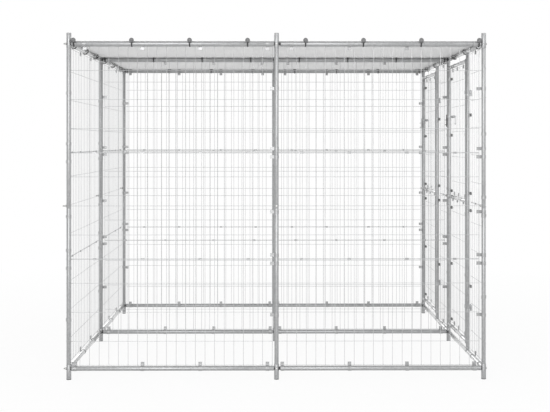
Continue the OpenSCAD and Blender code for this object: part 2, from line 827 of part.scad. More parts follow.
module door_frame() {
    stile_z0 = door_low_z - post_r;
    stile_h = door_high_z - door_low_z + post_d;
    color(zinc) difference() {
        union() {
            for (u = [0, stile_cc]) translate([u, 0, stile_z0]) cylinder(r = post_r, h = stile_h);
            for (z = door_rails) translate([0, 0, z]) along_x() cylinder(r = door_rail_r, h = stile_cc);
        }
        for (u = [0, stile_cc])
            translate([u, 0, stile_z0 + tube_wall]) cylinder(r = post_bore_r, h = stile_h - 2 * tube_wall);
        for (z = door_rails)
            translate([0, 0, z]) along_x() cylinder(r = door_rail_r - tube_wall, h = stile_cc);
        for (u = [0, stile_cc]) translate([u, 0, stile_z0 - over]) cylinder(r = drain_r, h = post_d);
    }
}

module door_mesh() {
    color(zinc) translate([door_edge, 0, 0]) for (z = door_z) sheet(door_cols, z[0], z[1], door_cross_n);
}

// Stile clips come first and rail clips second. Upper and lower clips sit side by side on the middle rail
module each_door_clip() {
    for (z = door_clip_z) {
        translate([0, 0, z]) children(0);
        translate([stile_cc, 0, z]) mirror([1, 0, 0]) children(0);
    }
    for (u = door_clip_u, i = [0:1]) {
        translate([u, 0, door_rails[i]]) children(1);
        translate([u + col_pitch, 0, 0]) turned_down(door_rails[i + 1]) children(1);
    }
}

module door_clips() {
    color(zinc) each_door_clip() {
        upright_clip(door_edge);
        level_clip(door_rail_r, door_cross_n);
    }
}

module door_clip_screws() {
    color(dark) each_door_clip() {
        upright_screw(door_edge);
        level_screw(door_cross_n);
    }
}

module hinge_eyes() { color(zinc) for (z = hinge_levels) translate([-stile_gap, 0, z]) eye(); }

// The latch bolt runs along x outside the wall, through a guide on the latch stile
module latch_guide() {
    tube_r = latch_r + seat + latch_wall;
    color(zinc) translate([stile_cc, 0, latch_z]) difference() {
        union() {
            translate([0, 0, -tube_r]) tube(band_r + band_t, band_t, 2 * tube_r);
            translate([-tube_r, -latch_out, -tube_r])
                cube([2 * tube_r, latch_out - band_r - band_t / 2, 2 * tube_r]);
            translate([-guide_back, -latch_out, 0]) along_x() cylinder(r = tube_r, h = guide_back + guide_front);
        }
        translate([-guide_back - over, -latch_out, 0]) along_x()
            cylinder(r = latch_r + seat, h = guide_back + guide_front + 2 * over);
    }
}

module latch_bolt() {
    color(dark) translate([stile_cc, -latch_out, latch_z]) {
        translate([-latch_tail, 0, 0]) along_x() cylinder(r = latch_r, h = latch_tail + latch_tip);
        translate([-latch_tail + handle_r, 0, -handle_drop]) {
            cylinder(r = handle_r, h = handle_drop);
            sphere(r = knob_r);
        }
    }
}

// Keepers stand on the posts that the latch bolts reach
module each_keeper() { on_right() for (i = [1:2]) translate([i * bay, 0, 0]) children(); }

module latch_keepers() {
    tube_r = latch_r + keeper_slack + latch_wall;
    plate_y = -post_r - seat - keeper_plate_t;
    color(zinc) each_keeper() difference() {
        union() {
            translate([-keeper_half_w, plate_y, keeper_low])
                cube([2 * keeper_half_w, keeper_plate_t, keeper_top - keeper_low]);
            translate([-keeper_half, -latch_out, latch_z - tube_r])
                cube([2 * keeper_half, latch_out + plate_y + keeper_plate_t / 2, 2 * tube_r]);
            translate([-keeper_half, -latch_out, latch_z]) along_x() cylinder(r = tube_r, h = 2 * keeper_half);
        }
        translate([-keeper_half - over, -latch_out, latch_z]) along_x()
            cylinder(r = latch_r + keeper_slack, h = 2 * keeper_half + 2 * over);
        for (z = keeper_bolts) translate([0, -post_d, z]) rotate([-90, 0, 0])
            cylinder(r = keeper_bolt_r + hole_slack, h = post_d);
    }
}

module latch_backing_plates() {
    color(dark) each_keeper() difference() {
        translate([-keeper_half_w, post_r + seat, keeper_low])
            cube([2 * keeper_half_w, keeper_plate_t, keeper_top - keeper_low]);
        for (z = keeper_bolts) translate([0, 0, z]) rotate([-90, 0, 0])
            cylinder(r = keeper_bolt_r + hole_slack, h = post_d);
    }
}

// Through bolt with a low head outside and its end standing into the run
module keeper_bolt() {
    head_y = -post_r - seat - keeper_plate_t;
    rotate([-90, 0, 0]) {
        translate([0, 0, head_y - head_h]) cylinder(r = 2 * keeper_bolt_r, h = head_h);
        translate([0, 0, head_y - over]) cylinder(r = keeper_bolt_r, h = keeper_stud + over - 2 * head_y);
    }
}

module front_door_frame() { at_door(0) door_frame(); }
module front_door_mesh() { at_door(0) outside() door_mesh(); }
module front_door_clips() { at_door(0) outside() door_clips(); }
module front_door_clip_screws() { at_door(0) outside() door_clip_screws(); }
module front_door_hinge_eyes() { at_door(0) hinge_eyes(); }
module front_door_latch_guide() { at_door(0) latch_guide(); }
module front_latch_bolt() { at_door(0) latch_bolt(); }
module rear_door_frame() { at_door(1) door_frame(); }
module rear_door_mesh() { at_door(1) outside() door_mesh(); }
module rear_door_clips() { at_door(1) outside() door_clips(); }
module rear_door_clip_screws() { at_door(1) outside() door_clip_screws(); }
module rear_door_hinge_eyes() { at_door(1) hinge_eyes(); }
module rear_door_latch_guide() { at_door(1) latch_guide(); }
module rear_latch_bolt() { at_door(1) latch_bolt(); }

front_left_post();
front_centre_post();
front_right_post();
middle_left_post();
middle_centre_post();
middle_right_post();
rear_left_post();
rear_centre_post();
rear_right_post();
post_joint_spigots();
post_connectors();
post_feet();
post_caps();
front_rails();
partition_rails();
rear_rails();
left_rails();
right_rails();
rail_end_inserts();
front_door_jamb();
rear_door_jamb();
front_left_mesh();
front_right_mesh();
partition_left_mesh();
partition_right_mesh();
rear_left_mesh();
rear_right_mesh();
left_front_mesh();
left_rear_mesh();
right_front_mesh();
right_rear_mesh();
post_clips();
rail_clips();
wall_clip_screws();
mesh_tie_clips();
frame_bolts();
frame_nuts();
front_roof_sheet();
rear_roof_sheet();
bungee_loops();
bungee_balls();
hinge_pintles();
latch_keepers();
latch_backing_plates();
front_door_frame();
front_door_mesh();
front_door_clips();
front_door_clip_screws();
front_door_hinge_eyes();
front_door_latch_guide();
front_latch_bolt();
rear_door_frame();
rear_door_mesh();
rear_door_clips();
rear_door_clip_screws();
rear_door_hinge_eyes();
rear_door_latch_guide();
rear_latch_bolt();
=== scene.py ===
"""Looks of an outdoor dog kennel with two runs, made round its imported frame.

Lengths are in metres. X runs right, Y to the rear and Z up, from the ground under the middle post.
"""

import logging
import math
from collections.abc import Iterable, Iterator, Sequence
from dataclasses import dataclass
from enum import Enum

import bmesh
import bpy
from mathutils import Matrix, Vector


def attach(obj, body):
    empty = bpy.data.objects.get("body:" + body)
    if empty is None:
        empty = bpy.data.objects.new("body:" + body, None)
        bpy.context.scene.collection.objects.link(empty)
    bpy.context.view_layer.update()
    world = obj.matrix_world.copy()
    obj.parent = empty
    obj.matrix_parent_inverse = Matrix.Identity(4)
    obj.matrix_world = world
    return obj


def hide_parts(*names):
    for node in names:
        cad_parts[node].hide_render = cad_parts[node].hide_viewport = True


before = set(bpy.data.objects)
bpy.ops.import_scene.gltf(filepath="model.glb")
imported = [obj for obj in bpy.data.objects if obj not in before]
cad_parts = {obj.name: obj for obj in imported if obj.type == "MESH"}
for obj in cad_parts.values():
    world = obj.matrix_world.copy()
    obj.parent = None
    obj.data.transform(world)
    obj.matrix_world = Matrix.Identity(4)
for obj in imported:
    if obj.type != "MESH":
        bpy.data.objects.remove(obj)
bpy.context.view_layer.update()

LOG = logging.getLogger("kennel")
MM = 0.001
MERGE = 1e-6
ORDER_DIGITS = 6
EASE = 0.3
SHARP = math.radians(38)
WAVE_TURNS = 20
TUBE_SIDES = 28
ROD_SIDES = 24
PIN_SIDES = 20
HEAD_SIDES = 18
THREAD_SIDES = 14
HERE = Matrix.Identity(4)
MIRROR_X = Matrix.Diagonal((-1, 1, 1, 1))
MIRROR_Y = Matrix.Diagonal((1, -1, 1, 1))
MIRROR_Z = Matrix.Diagonal((1, 1, -1, 1))
SWAP_XZ = Matrix(((0, 0, 1, 0), (0, 1, 0, 0), (1, 0, 0, 0), (0, 0, 0, 1)))
ALONG_X = Matrix.Rotation(math.pi / 2, 4, "Y")
ALONG_Y = Matrix.Rotation(-math.pi / 2, 4, "X")

Color = tuple[float, float, float]
Outline = Sequence[tuple[float, float]]
Inputs = dict[str | int, object]
Socket = bpy.types.NodeSocket
Mesh = bpy.types.Mesh
Shape = bmesh.types.BMesh


def at(x: float = 0.0, y: float = 0.0, z: float = 0.0) -> Matrix:
    """Return the matrix that moves a shape to a point."""
    return Matrix.Translation((x, y, z))


def turned(degrees: float, axis: str = "Z") -> Matrix:
    """Return the matrix that turns a shape about an axis through the origin."""
    return Matrix.Rotation(math.radians(degrees), 4, axis)


def smooth(share: float) -> float:
    """Return a share kept from 0 to 1, with a level start and end."""
    share = min(max(share, 0.0), 1.0)
    return share * share * (3 - 2 * share)


def arc(radius: float, first: float, last: float, steps: int) -> list[tuple[float, float]]:
    """Return points on a circle about the origin, from one angle to another in degrees."""
    turns = [math.radians(first + (last - first) * i / steps) for i in range(steps + 1)]
    return [(radius * math.cos(turn), radius * math.sin(turn)) for turn in turns]


class Body(Enum):
    """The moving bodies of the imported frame."""

    FRAME = "frame"
    FRONT_DOOR = "front_door"
    FRONT_LATCH = "front_latch"
    REAR_DOOR = "rear_door"
    REAR_LATCH = "rear_latch"


class Wall(Enum):
    """The five walls."""

    FRONT = "front"
    PARTITION = "partition"
    REAR = "rear"
    LEFT = "left"
    RIGHT = "right"

    def place(self, bay: float) -> Matrix:
        """Return the matrix from the wall's own axes to the kennel's.

        Args:
            bay: Distance between neighbouring posts.

        Returns:
            A matrix that takes x along the wall, y into a run and z up.
        """
        places = {
            Wall.FRONT: at(-bay, -bay),
            Wall.PARTITION: at(-bay, 0),
            Wall.REAR: at(-bay, bay) @ MIRROR_Y,
            Wall.LEFT: at(-bay, -bay) @ turned(90) @ MIRROR_Y,
            Wall.RIGHT: at(bay, -bay) @ turned(90),
        }
        return places[self]


@dataclass(frozen=True)
class Layout:
    """Sizes that several sub-assemblies share, and the places that follow from them."""

    bay: float = 1090 * MM
    post_height: float = 1820 * MM
    rail_inset: float = 58 * MM
    post_r: float = 11 * MM
    rail_r: float = 12.5 * MM
    door_rail_r: float = 10 * MM
    tube_wall: float = 1.2 * MM
    sleeve_r: float = 12.7 * MM
    plug_flange: float = 3 * MM
    seat: float = 0.3 * MM
    upright_n: float = 14.2 * MM
    wire_lap: float = 2.2 * MM
    edge_drop: float = 13.2 * MM
    column: float = 50.6 * MM
    sheet_gap: float = 3 * MM
    hidden_edge: float = 5 * MM
    bay_columns: int = 21
    jamb_u: float = 445 * MM
    panel_columns: int = 8
    panel_joint_drop: float = 5 * MM
    stile_gap: float = 28 * MM
    door_columns: int = 11
    door_rail_drop: float = 52 * MM
    joint_drop: float = 11 * MM

    @property
    def low_rail(self) -> float:
        """Return the height of the bottom rails."""
        return self.rail_inset

    @property
    def high_rail(self) -> float:
        """Return the height of the top rails."""
        return self.post_height - self.rail_inset

    @property
    def rail_levels(self) -> tuple[float, float]:
        """Return the heights of the bottom and the top rails."""
        return self.low_rail, self.high_rail

    @property
    def stack(self) -> tuple[float, float]:
        """Return the heights of the lowest and the highest edge wire of a wall."""
        return self.low_rail + self.edge_drop, self.high_rail - self.edge_drop

    @property
    def strip_height(self) -> float:
        """Return the height of each of the three sheets of a bay."""
        low, high = self.stack
        return (high - low - 2 * self.sheet_gap) / 3

    @property
    def strips(self) -> list[float]:
        """Return the heights at which a bay's three sheets start."""
        return [self.stack[0] + i * (self.strip_height + self.sheet_gap) for i in range(3)]

    @property
    def strip_joints(self) -> list[float]:
        """Return the heights at which a bay's sheets meet."""
        return [z - self.sheet_gap / 2 for z in self.strips[1:]]

    @property
    def strip_middles(self) -> list[float]:
        """Return the heights of the middles of a bay's sheets."""
        return [z + self.strip_height / 2 for z in self.strips]

    @property
    def joint_z(self) -> float:
        """Return the height at which the halves of a post meet."""
        return self.strip_middles[1] - self.joint_drop

    @property
    def side_edge(self) -> float:
        """Return the distance from a post to the edge wires of the left wall."""
        return (self.bay - self.bay_columns * self.column) / 2

    @property
    def panel_edge(self) -> float:
        """Return the distance from a post or jamb to the edge wire of a fixed panel."""
        return (self.jamb_u - self.panel_columns * self.column) / 2

    @property
    def panel_joint(self) -> float:
        """Return the height at which the two sheets of a fixed panel meet."""
        return sum(self.stack) / 2 - self.panel_joint_drop

    @property
    def panels(self) -> list[tuple[float, float]]:
        """Return the heights of the ends of the two sheets of a fixed panel."""
        half = self.sheet_gap / 2
        return [(self.stack[0], self.panel_joint - half), (self.panel_joint + half, self.stack[1])]

    @property
    def stile_span(self) -> float:
        """Return the distance between the two stiles of a door."""
        return self.bay - self.jamb_u - 2 * self.stile_gap

    @property
    def door_rails(self) -> list[float]:
        """Return the heights of a door's three rails."""
        low, high = self.low_rail + self.door_rail_drop, self.high_rail - self.door_rail_drop
        return [low, (low + high) / 2, high]

    @property
    def panes(self) -> list[tuple[float, float]]:
        """Return the heights of the ends of a door's two sheets."""
        rails = self.door_rails
        return [(rails[i] + self.edge_drop, rails[i + 1] - self.edge_drop) for i in range(2)]

    @property
    def door_edge(self) -> float:
        """Return the distance from a stile to the edge wire of a door's sheets."""
        return (self.stile_span - self.door_columns * self.column) / 2

    def posts(self) -> Iterator[tuple[str, int, int, Matrix]]:
        """Yield each post's name, its row and side from -1 to 1, and its place."""
        for row, depth in enumerate(("front", "middle", "rear"), -1):
            for side, hand in enumerate(("left", "centre", "right"), -1):
                yield f"{depth}_{hand}_post", row, side, at(side * self.bay, row * self.bay)

    def tab_edge(self, edge: float) -> float:
        """Return the distance from a post to the clipped edge wire of a bay with this hidden edge."""
        return self.bay - edge - self.bay_columns * self.column

    def in_wall(self, wall: Wall, index: int = 0, flipped: bool = False) -> Matrix:
        """Return the place of a wall's near or far bay, flipped where its clips are on its near post."""
        inside = at(self.bay) @ MIRROR_X if flipped else HERE
        return wall.place(self.bay) @ at(index * self.bay) @ inside

    def at_door(self, index: int) -> Matrix:
        """Return the place of a door, with x from its hinge stile to its latch stile."""
        return self.in_wall(Wall.RIGHT, index) @ at(self.jamb_u + self.stile_gap)


@dataclass(frozen=True)
class WiredBay:
    """A bay whose three sheets are clipped to a post."""

    node: str
    wall: Wall
    index: int
    flipped: bool
    clip_joint: float = 22 * MM
    clip_drop: float = 0.0
    low_gaps: tuple[int, ...] = (0, 7, 13, 20)
    high_gaps: tuple[int, ...] = (1, 7, 13, 20)
    tie_gaps: tuple[int, ...] = (2, 7, 13, 18)

    def place(self, layout: Layout) -> Matrix:
        """Return the matrix from the bay's own axes to the kennel's, with the left wall's wires outside."""
        side = MIRROR_Y if self.wall is Wall.LEFT else HERE
        return layout.in_wall(self.wall, self.index, self.flipped) @ side

    def edge(self, layout: Layout) -> float:
        """Return the distance from a post to the bay's hidden edge wire."""
        return layout.side_edge if self.wall is Wall.LEFT else layout.hidden_edge


LEFT_JOINT = 47 * MM
LEFT_DROP = 25 * MM
LEFT_GAPS = (5, 12, 19)
LEFT_TIES = (1, 6, 12, 17)
WIRED_BAYS = (
    WiredBay("front_left_mesh", Wall.FRONT, 0, False),
    WiredBay("front_right_mesh", Wall.FRONT, 1, False),
    WiredBay("partition_left_mesh", Wall.PARTITION, 0, True),
    WiredBay("partition_right_mesh", Wall.PARTITION, 1, False),
    WiredBay("rear_left_mesh", Wall.REAR, 0, True),
    WiredBay("rear_right_mesh", Wall.REAR, 1, False),
    WiredBay("left_front_mesh", Wall.LEFT, 0, True, LEFT_JOINT, LEFT_DROP, LEFT_GAPS, LEFT_GAPS, LEFT_TIES),
    WiredBay("left_rear_mesh", Wall.LEFT, 1, True, LEFT_JOINT, LEFT_DROP, LEFT_GAPS, LEFT_GAPS, LEFT_TIES),
)


class Graph:
    """A material's node tree while it is being made."""

    def __init__(self, name: str) -> None:
        """Start a material with one Principled shader.

        Args:
            name: The material's name.
        """
        self.material = bpy.data.materials.new(name)
        self.material.use_nodes = True
        self.tree = self.material.node_tree
        self.shader = self.tree.nodes["Principled BSDF"]
        self.place = self.add("ShaderNodeTexCoord").outputs["Object"]

    def add(self, kind: str, inputs: Inputs | None = None, **settings: object) -> bpy.types.Node:
        """Add a node.

        Args:
            kind: The node's type.
            inputs: Values or sockets for its inputs, by name or number.
            **settings: Values for its properties.

        Returns:
            The node.
        """
        node = self.tree.nodes.new(kind)
        for key, value in settings.items():
            setattr(node, key, value)
        for key, value in (inputs or {}).items():
            self.feed(node, key, value)
        return node

    def feed(self, node: bpy.types.Node, key: str | int, value: object) -> None:
        """Link a socket to a node's input, or set the input's own value.

        Args:
            node: The node.
            key: Name or number of its input.
            value: The socket or the value.
        """
        if isinstance(value, Socket):
            self.tree.links.new(value, node.inputs[key])
        else:
            node.inputs[key].default_value = value

    def set(self, **values: object) -> None:
        """Feed the shader's inputs.

        Args:
            **values: Values or sockets, by the input's name in lower case with underscores for spaces.
        """
        for key, value in values.items():
            name = next(i.name for i in self.shader.inputs if i.name.lower().replace(" ", "_") == key)
            self.feed(self.shader, name, value)

    def stretched(self, scale: Color) -> Socket:
        """Return Object coordinates scaled by a different amount along each axis."""
        return self.add("ShaderNodeMapping", {"Vector": self.place, "Scale": scale}).outputs["Vector"]

    def noise(self, scale: float, detail: float, vector: Socket | None = None) -> Socket:
        """Return noise from 0 to 1 with that many features to a metre."""
        inputs = {"Vector": vector or self.place, "Scale": scale, "Detail": detail}
        return self.add("ShaderNodeTexNoise", inputs).outputs["Fac"]

    def cells(self, size: float) -> tuple[Socket, Socket]:
        """Add a pattern of cells.

        Args:
            size: Size of a cell.

        Returns:
            A tone from 0 to 1 that is the same all over a cell, and the distance from the cell's middle.
        """
        cells = self.add("ShaderNodeTexVoronoi", {"Vector": self.place, "Scale": 1 / size})
        tone = self.add("ShaderNodeSeparateColor", {"Color": cells.outputs["Color"]}).outputs["Red"]
        return tone, cells.outputs["Distance"]

    def bands(self, pitch: float, direction: str) -> Socket:
        """Return soft bands from 0 to 1 of that pitch across a direction."""
        inputs = {"Vector": self.place, "Scale": math.tau / (WAVE_TURNS * pitch)}
        return self.add("ShaderNodeTexWave", inputs, bands_direction=direction).outputs["Fac"]

    def remap(self, value: Socket, low: float, high: float, start: float = 0.0, end: float = 1.0) -> Socket:
        """Return a value moved from the range start to end into the range low to high."""
        inputs = {"Value": value, "From Min": start, "From Max": end, "To Min": low, "To Max": high}
        return self.add("ShaderNodeMapRange", inputs).outputs["Result"]

    def blend(self, *parts: tuple[Socket, Socket | float]) -> Socket:
        """Add up several values.

        Args:
            *parts: Each value with its weight.

        Returns:
            The sum of the values times their weights.
        """
        total: Socket | float = 0.0
        for value, weight in parts:
            inputs = {0: value, 1: weight, 2: total}
            total = self.add("ShaderNodeMath", inputs, operation="MULTIPLY_ADD").outputs["Value"]
        return total

    def mix(self, share: Socket, low: Color, high: Color) -> Socket:
        """Return a colour between two colours."""
        inputs = {0: share, 6: (*low, 1.0), 7: (*high, 1.0)}
        return self.add("ShaderNodeMix", inputs, data_type="RGBA").outputs[2]

    def bump(self, height: Socket, depth: float, strength: float) -> None:
        """Roughen the shader's normal by a height of that depth."""
        node = self.add("ShaderNodeBump", {"Height": height, "Distance": depth, "Strength": strength})
        self.set(normal=node.outputs["Normal"])


@dataclass(frozen=True)
class Finish:
    """A surface finish, which carries the name of a material slot of the record."""

    name: str
    slot: str
    dark: Color
    light: Color
    roughness: float

    def paint(self, graph: Graph) -> None:
        """Build the finish's nodes; each kind of finish has its own."""
        raise NotImplementedError

    def tint(self, graph: Graph, tone: Socket, start: float, end: float) -> Socket:
        """Return a colour from dark to light as a tone goes from start to end."""
        return graph.mix(graph.remap(tone, 0.0, 1.0, start, end), self.dark, self.light)

    def material(self) -> bpy.types.Material:
        """Make the finish's material on first use.

        Returns:
            The material.
        """
        made = bpy.data.materials.get(self.name)
        if made is None:
            graph = Graph(self.name)
            self.paint(graph)
            made = graph.material
        return made


@dataclass(frozen=True)
class Zinc(Finish):
    """Zinc on steel: crystals of slightly different tone and gloss, drawn streaks and a dull bloom."""

    metallic: float = 0.5
    crystal: float = 7 * MM
    streak: Color = (70.0, 70.0, 5.0)
    grain: float = 900.0
    depth: float = 0.06 * MM
    spread: float = 0.1
    coat: float = 0.0

    def paint(self, graph: Graph) -> None:
        """Vary the tone and the gloss by crystal, streak and bloom, and roughen by the grain.

        Args:
            graph: The material's node tree.
        """
        crystal, _ = graph.cells(self.crystal)
        streak = graph.noise(1.0, 4.0, graph.stretched(self.streak))
        bloom = graph.noise(6.0, 5.0)
        tone = graph.blend((crystal, 0.35), (streak, 0.4), (bloom, 0.35))
        gloss = graph.blend((crystal, 0.4), (bloom, 0.6))
        graph.set(
            base_color=self.tint(graph, tone, 0.25, 0.85),
            metallic=self.metallic,
            roughness=graph.remap(gloss, self.roughness - self.spread, self.roughness + self.spread),
            coat_weight=self.coat,
            coat_roughness=0.12,
        )
        fine = graph.noise(self.grain, 2.0)
        graph.bump(graph.blend((crystal, 0.3), (fine, 1.0)), self.depth, 0.35)


@dataclass(frozen=True)
class Moulded(Finish):
    """Moulded plastic: a fine matt texture, faint clouds and paler scuffs."""

    texture: float = 1500.0
    depth: float = 0.08 * MM
    scuffs: Color = (160.0, 45.0, 90.0)

    def paint(self, graph: Graph) -> None:
        """Mottle the colour, scuff the gloss and roughen by the mould's texture.

        Args:
            graph: The material's node tree.
        """
        cloud = graph.noise(25.0, 4.0)
        scuff = graph.noise(1.0, 5.0, graph.stretched(self.scuffs))
        graph.set(
            base_color=self.tint(graph, graph.blend((cloud, 0.6), (scuff, 0.4)), 0.3, 0.7),
            roughness=graph.remap(scuff, self.roughness - 0.08, self.roughness + 0.1),
        )
        graph.bump(graph.noise(self.texture, 2.0), self.depth, 0.5)


@dataclass(frozen=True)
class CoatedCloth(Finish):
    """Coated woven sheet: flat yarns over and under, with faint clouds in the coating."""

    yarn: float = 2.4 * MM
    depth: float = 0.12 * MM
    sheen: float = 0.15

    def paint(self, graph: Graph) -> None:
        """Weave two sets of yarns that rise in turn, and cloud the colour.

        Args:
            graph: The material's node tree.
        """
        over = graph.bands(self.yarn, "X")
        under = graph.bands(self.yarn, "Y")
        squares = {"Vector": graph.place, "Scale": 1 / self.yarn}
        check = graph.add("ShaderNodeTexChecker", squares).outputs["Fac"]
        weave = graph.add("ShaderNodeMix", {0: check, 2: over, 3: under}).outputs[0]
        cloud = graph.noise(3.5, 5.0)
        graph.set(
            base_color=self.tint(graph, graph.blend((weave, 0.3), (cloud, 0.7)), 0.2, 0.8),
            roughness=graph.remap(cloud, self.roughness - 0.05, self.roughness + 0.08),
            sheen_weight=self.sheen,
        )
        graph.bump(weave, self.depth, 0.5)


@dataclass(frozen=True)
class Braid(Finish):
    """Elastic cord in a braided jacket, with a paler fleck."""

    strand: float = 0.9 * MM
    depth: float = 0.2 * MM
    sheen: float = 0.3

    def paint(self, graph: Graph) -> None:
        """Round each strand of the braid and fleck its colour.

        Args:
            graph: The material's node tree.
        """
        fleck, away = graph.cells(self.strand)
        graph.set(
            base_color=self.tint(graph, fleck, 0.55, 1.0),
            roughness=self.roughness,
            sheen_weight=self.sheen,
        )
        graph.bump(graph.remap(away, 1.0, 0.0, 0.0, 0.6), self.depth, 0.8)


POST_ZINC = Zinc("post_zinc", "galvanised_tube", (0.285, 0.289, 0.293), (0.41, 0.414, 0.418), 0.38)
RAIL_ZINC = Zinc(
    "rail_zinc", "galvanised_tube", (0.285, 0.289, 0.293), (0.41, 0.414, 0.418), 0.38,
    streak=(5.0, 70.0, 70.0),
)
# Paler, glossier copy of the tube zinc for the rails that run along Y, on the side walls and the doors. Its
# lighter colour is a painted highlight for the floor's reflection on these rails, not a different zinc.
SIDE_RAIL_ZINC_PAINTED_HIGHLIGHT = Zinc(
    "side_rail_zinc", "galvanised_tube", (0.43, 0.434, 0.438), (0.57, 0.574, 0.578), 0.24,
    metallic=0.8, streak=(70.0, 5.0, 70.0), coat=0.9,
)
WIRE_ZINC = Zinc("wire_zinc", "mesh_wire", (0.41, 0.415, 0.42), (0.57, 0.575, 0.58), 0.34, crystal=3 * MM)
CLIP_ZINC = Zinc("clip_zinc", "clip_steel", (0.26, 0.263, 0.266), (0.43, 0.433, 0.436), 0.4, crystal=4 * MM)
FASTENER_ZINC = Zinc(
    "fastener_zinc", "fastener_steel", (0.42, 0.42, 0.42), (0.62, 0.62, 0.61), 0.28, crystal=2 * MM
)
HINGE_ZINC = Zinc("hinge_zinc", "hinge_steel", (0.3, 0.305, 0.31), (0.48, 0.485, 0.49), 0.38, crystal=4 * MM)
BOLT_ZINC = Zinc("bolt_zinc", "latch_steel", (0.42, 0.425, 0.43), (0.6, 0.605, 0.61), 0.3, crystal=3 * MM)
LATCH_BLACK = Moulded("latch_black", "latch_steel", (0.03, 0.03, 0.032), (0.07, 0.07, 0.073), 0.42)
INSERT_PLASTIC = Moulded(
    "insert_plastic_black", "insert_plastic", (0.02, 0.02, 0.022), (0.05, 0.05, 0.053), 0.5
)
FOOT_PLASTIC = Moulded("foot_plastic_black", "foot_plastic", (0.03, 0.03, 0.032), (0.07, 0.07, 0.073), 0.55)
CAP_PLASTIC = Moulded("cap_plastic_grey", "cap_plastic", (0.36, 0.36, 0.365), (0.46, 0.46, 0.465), 0.5)
BALL_PLASTIC = Moulded("ball_plastic_grey", "bungee_ball", (0.12, 0.12, 0.123), (0.19, 0.19, 0.193), 0.35)
ROOF_CLOTH = CoatedCloth("roof_cloth_grey", "roof_cloth", (0.78, 0.78, 0.78), (0.86, 0.86, 0.86), 0.6)
CORD_BRAID = Braid("cord_braid_black", "bungee_cord", (0.012, 0.012, 0.013), (0.05, 0.05, 0.052), 0.7)


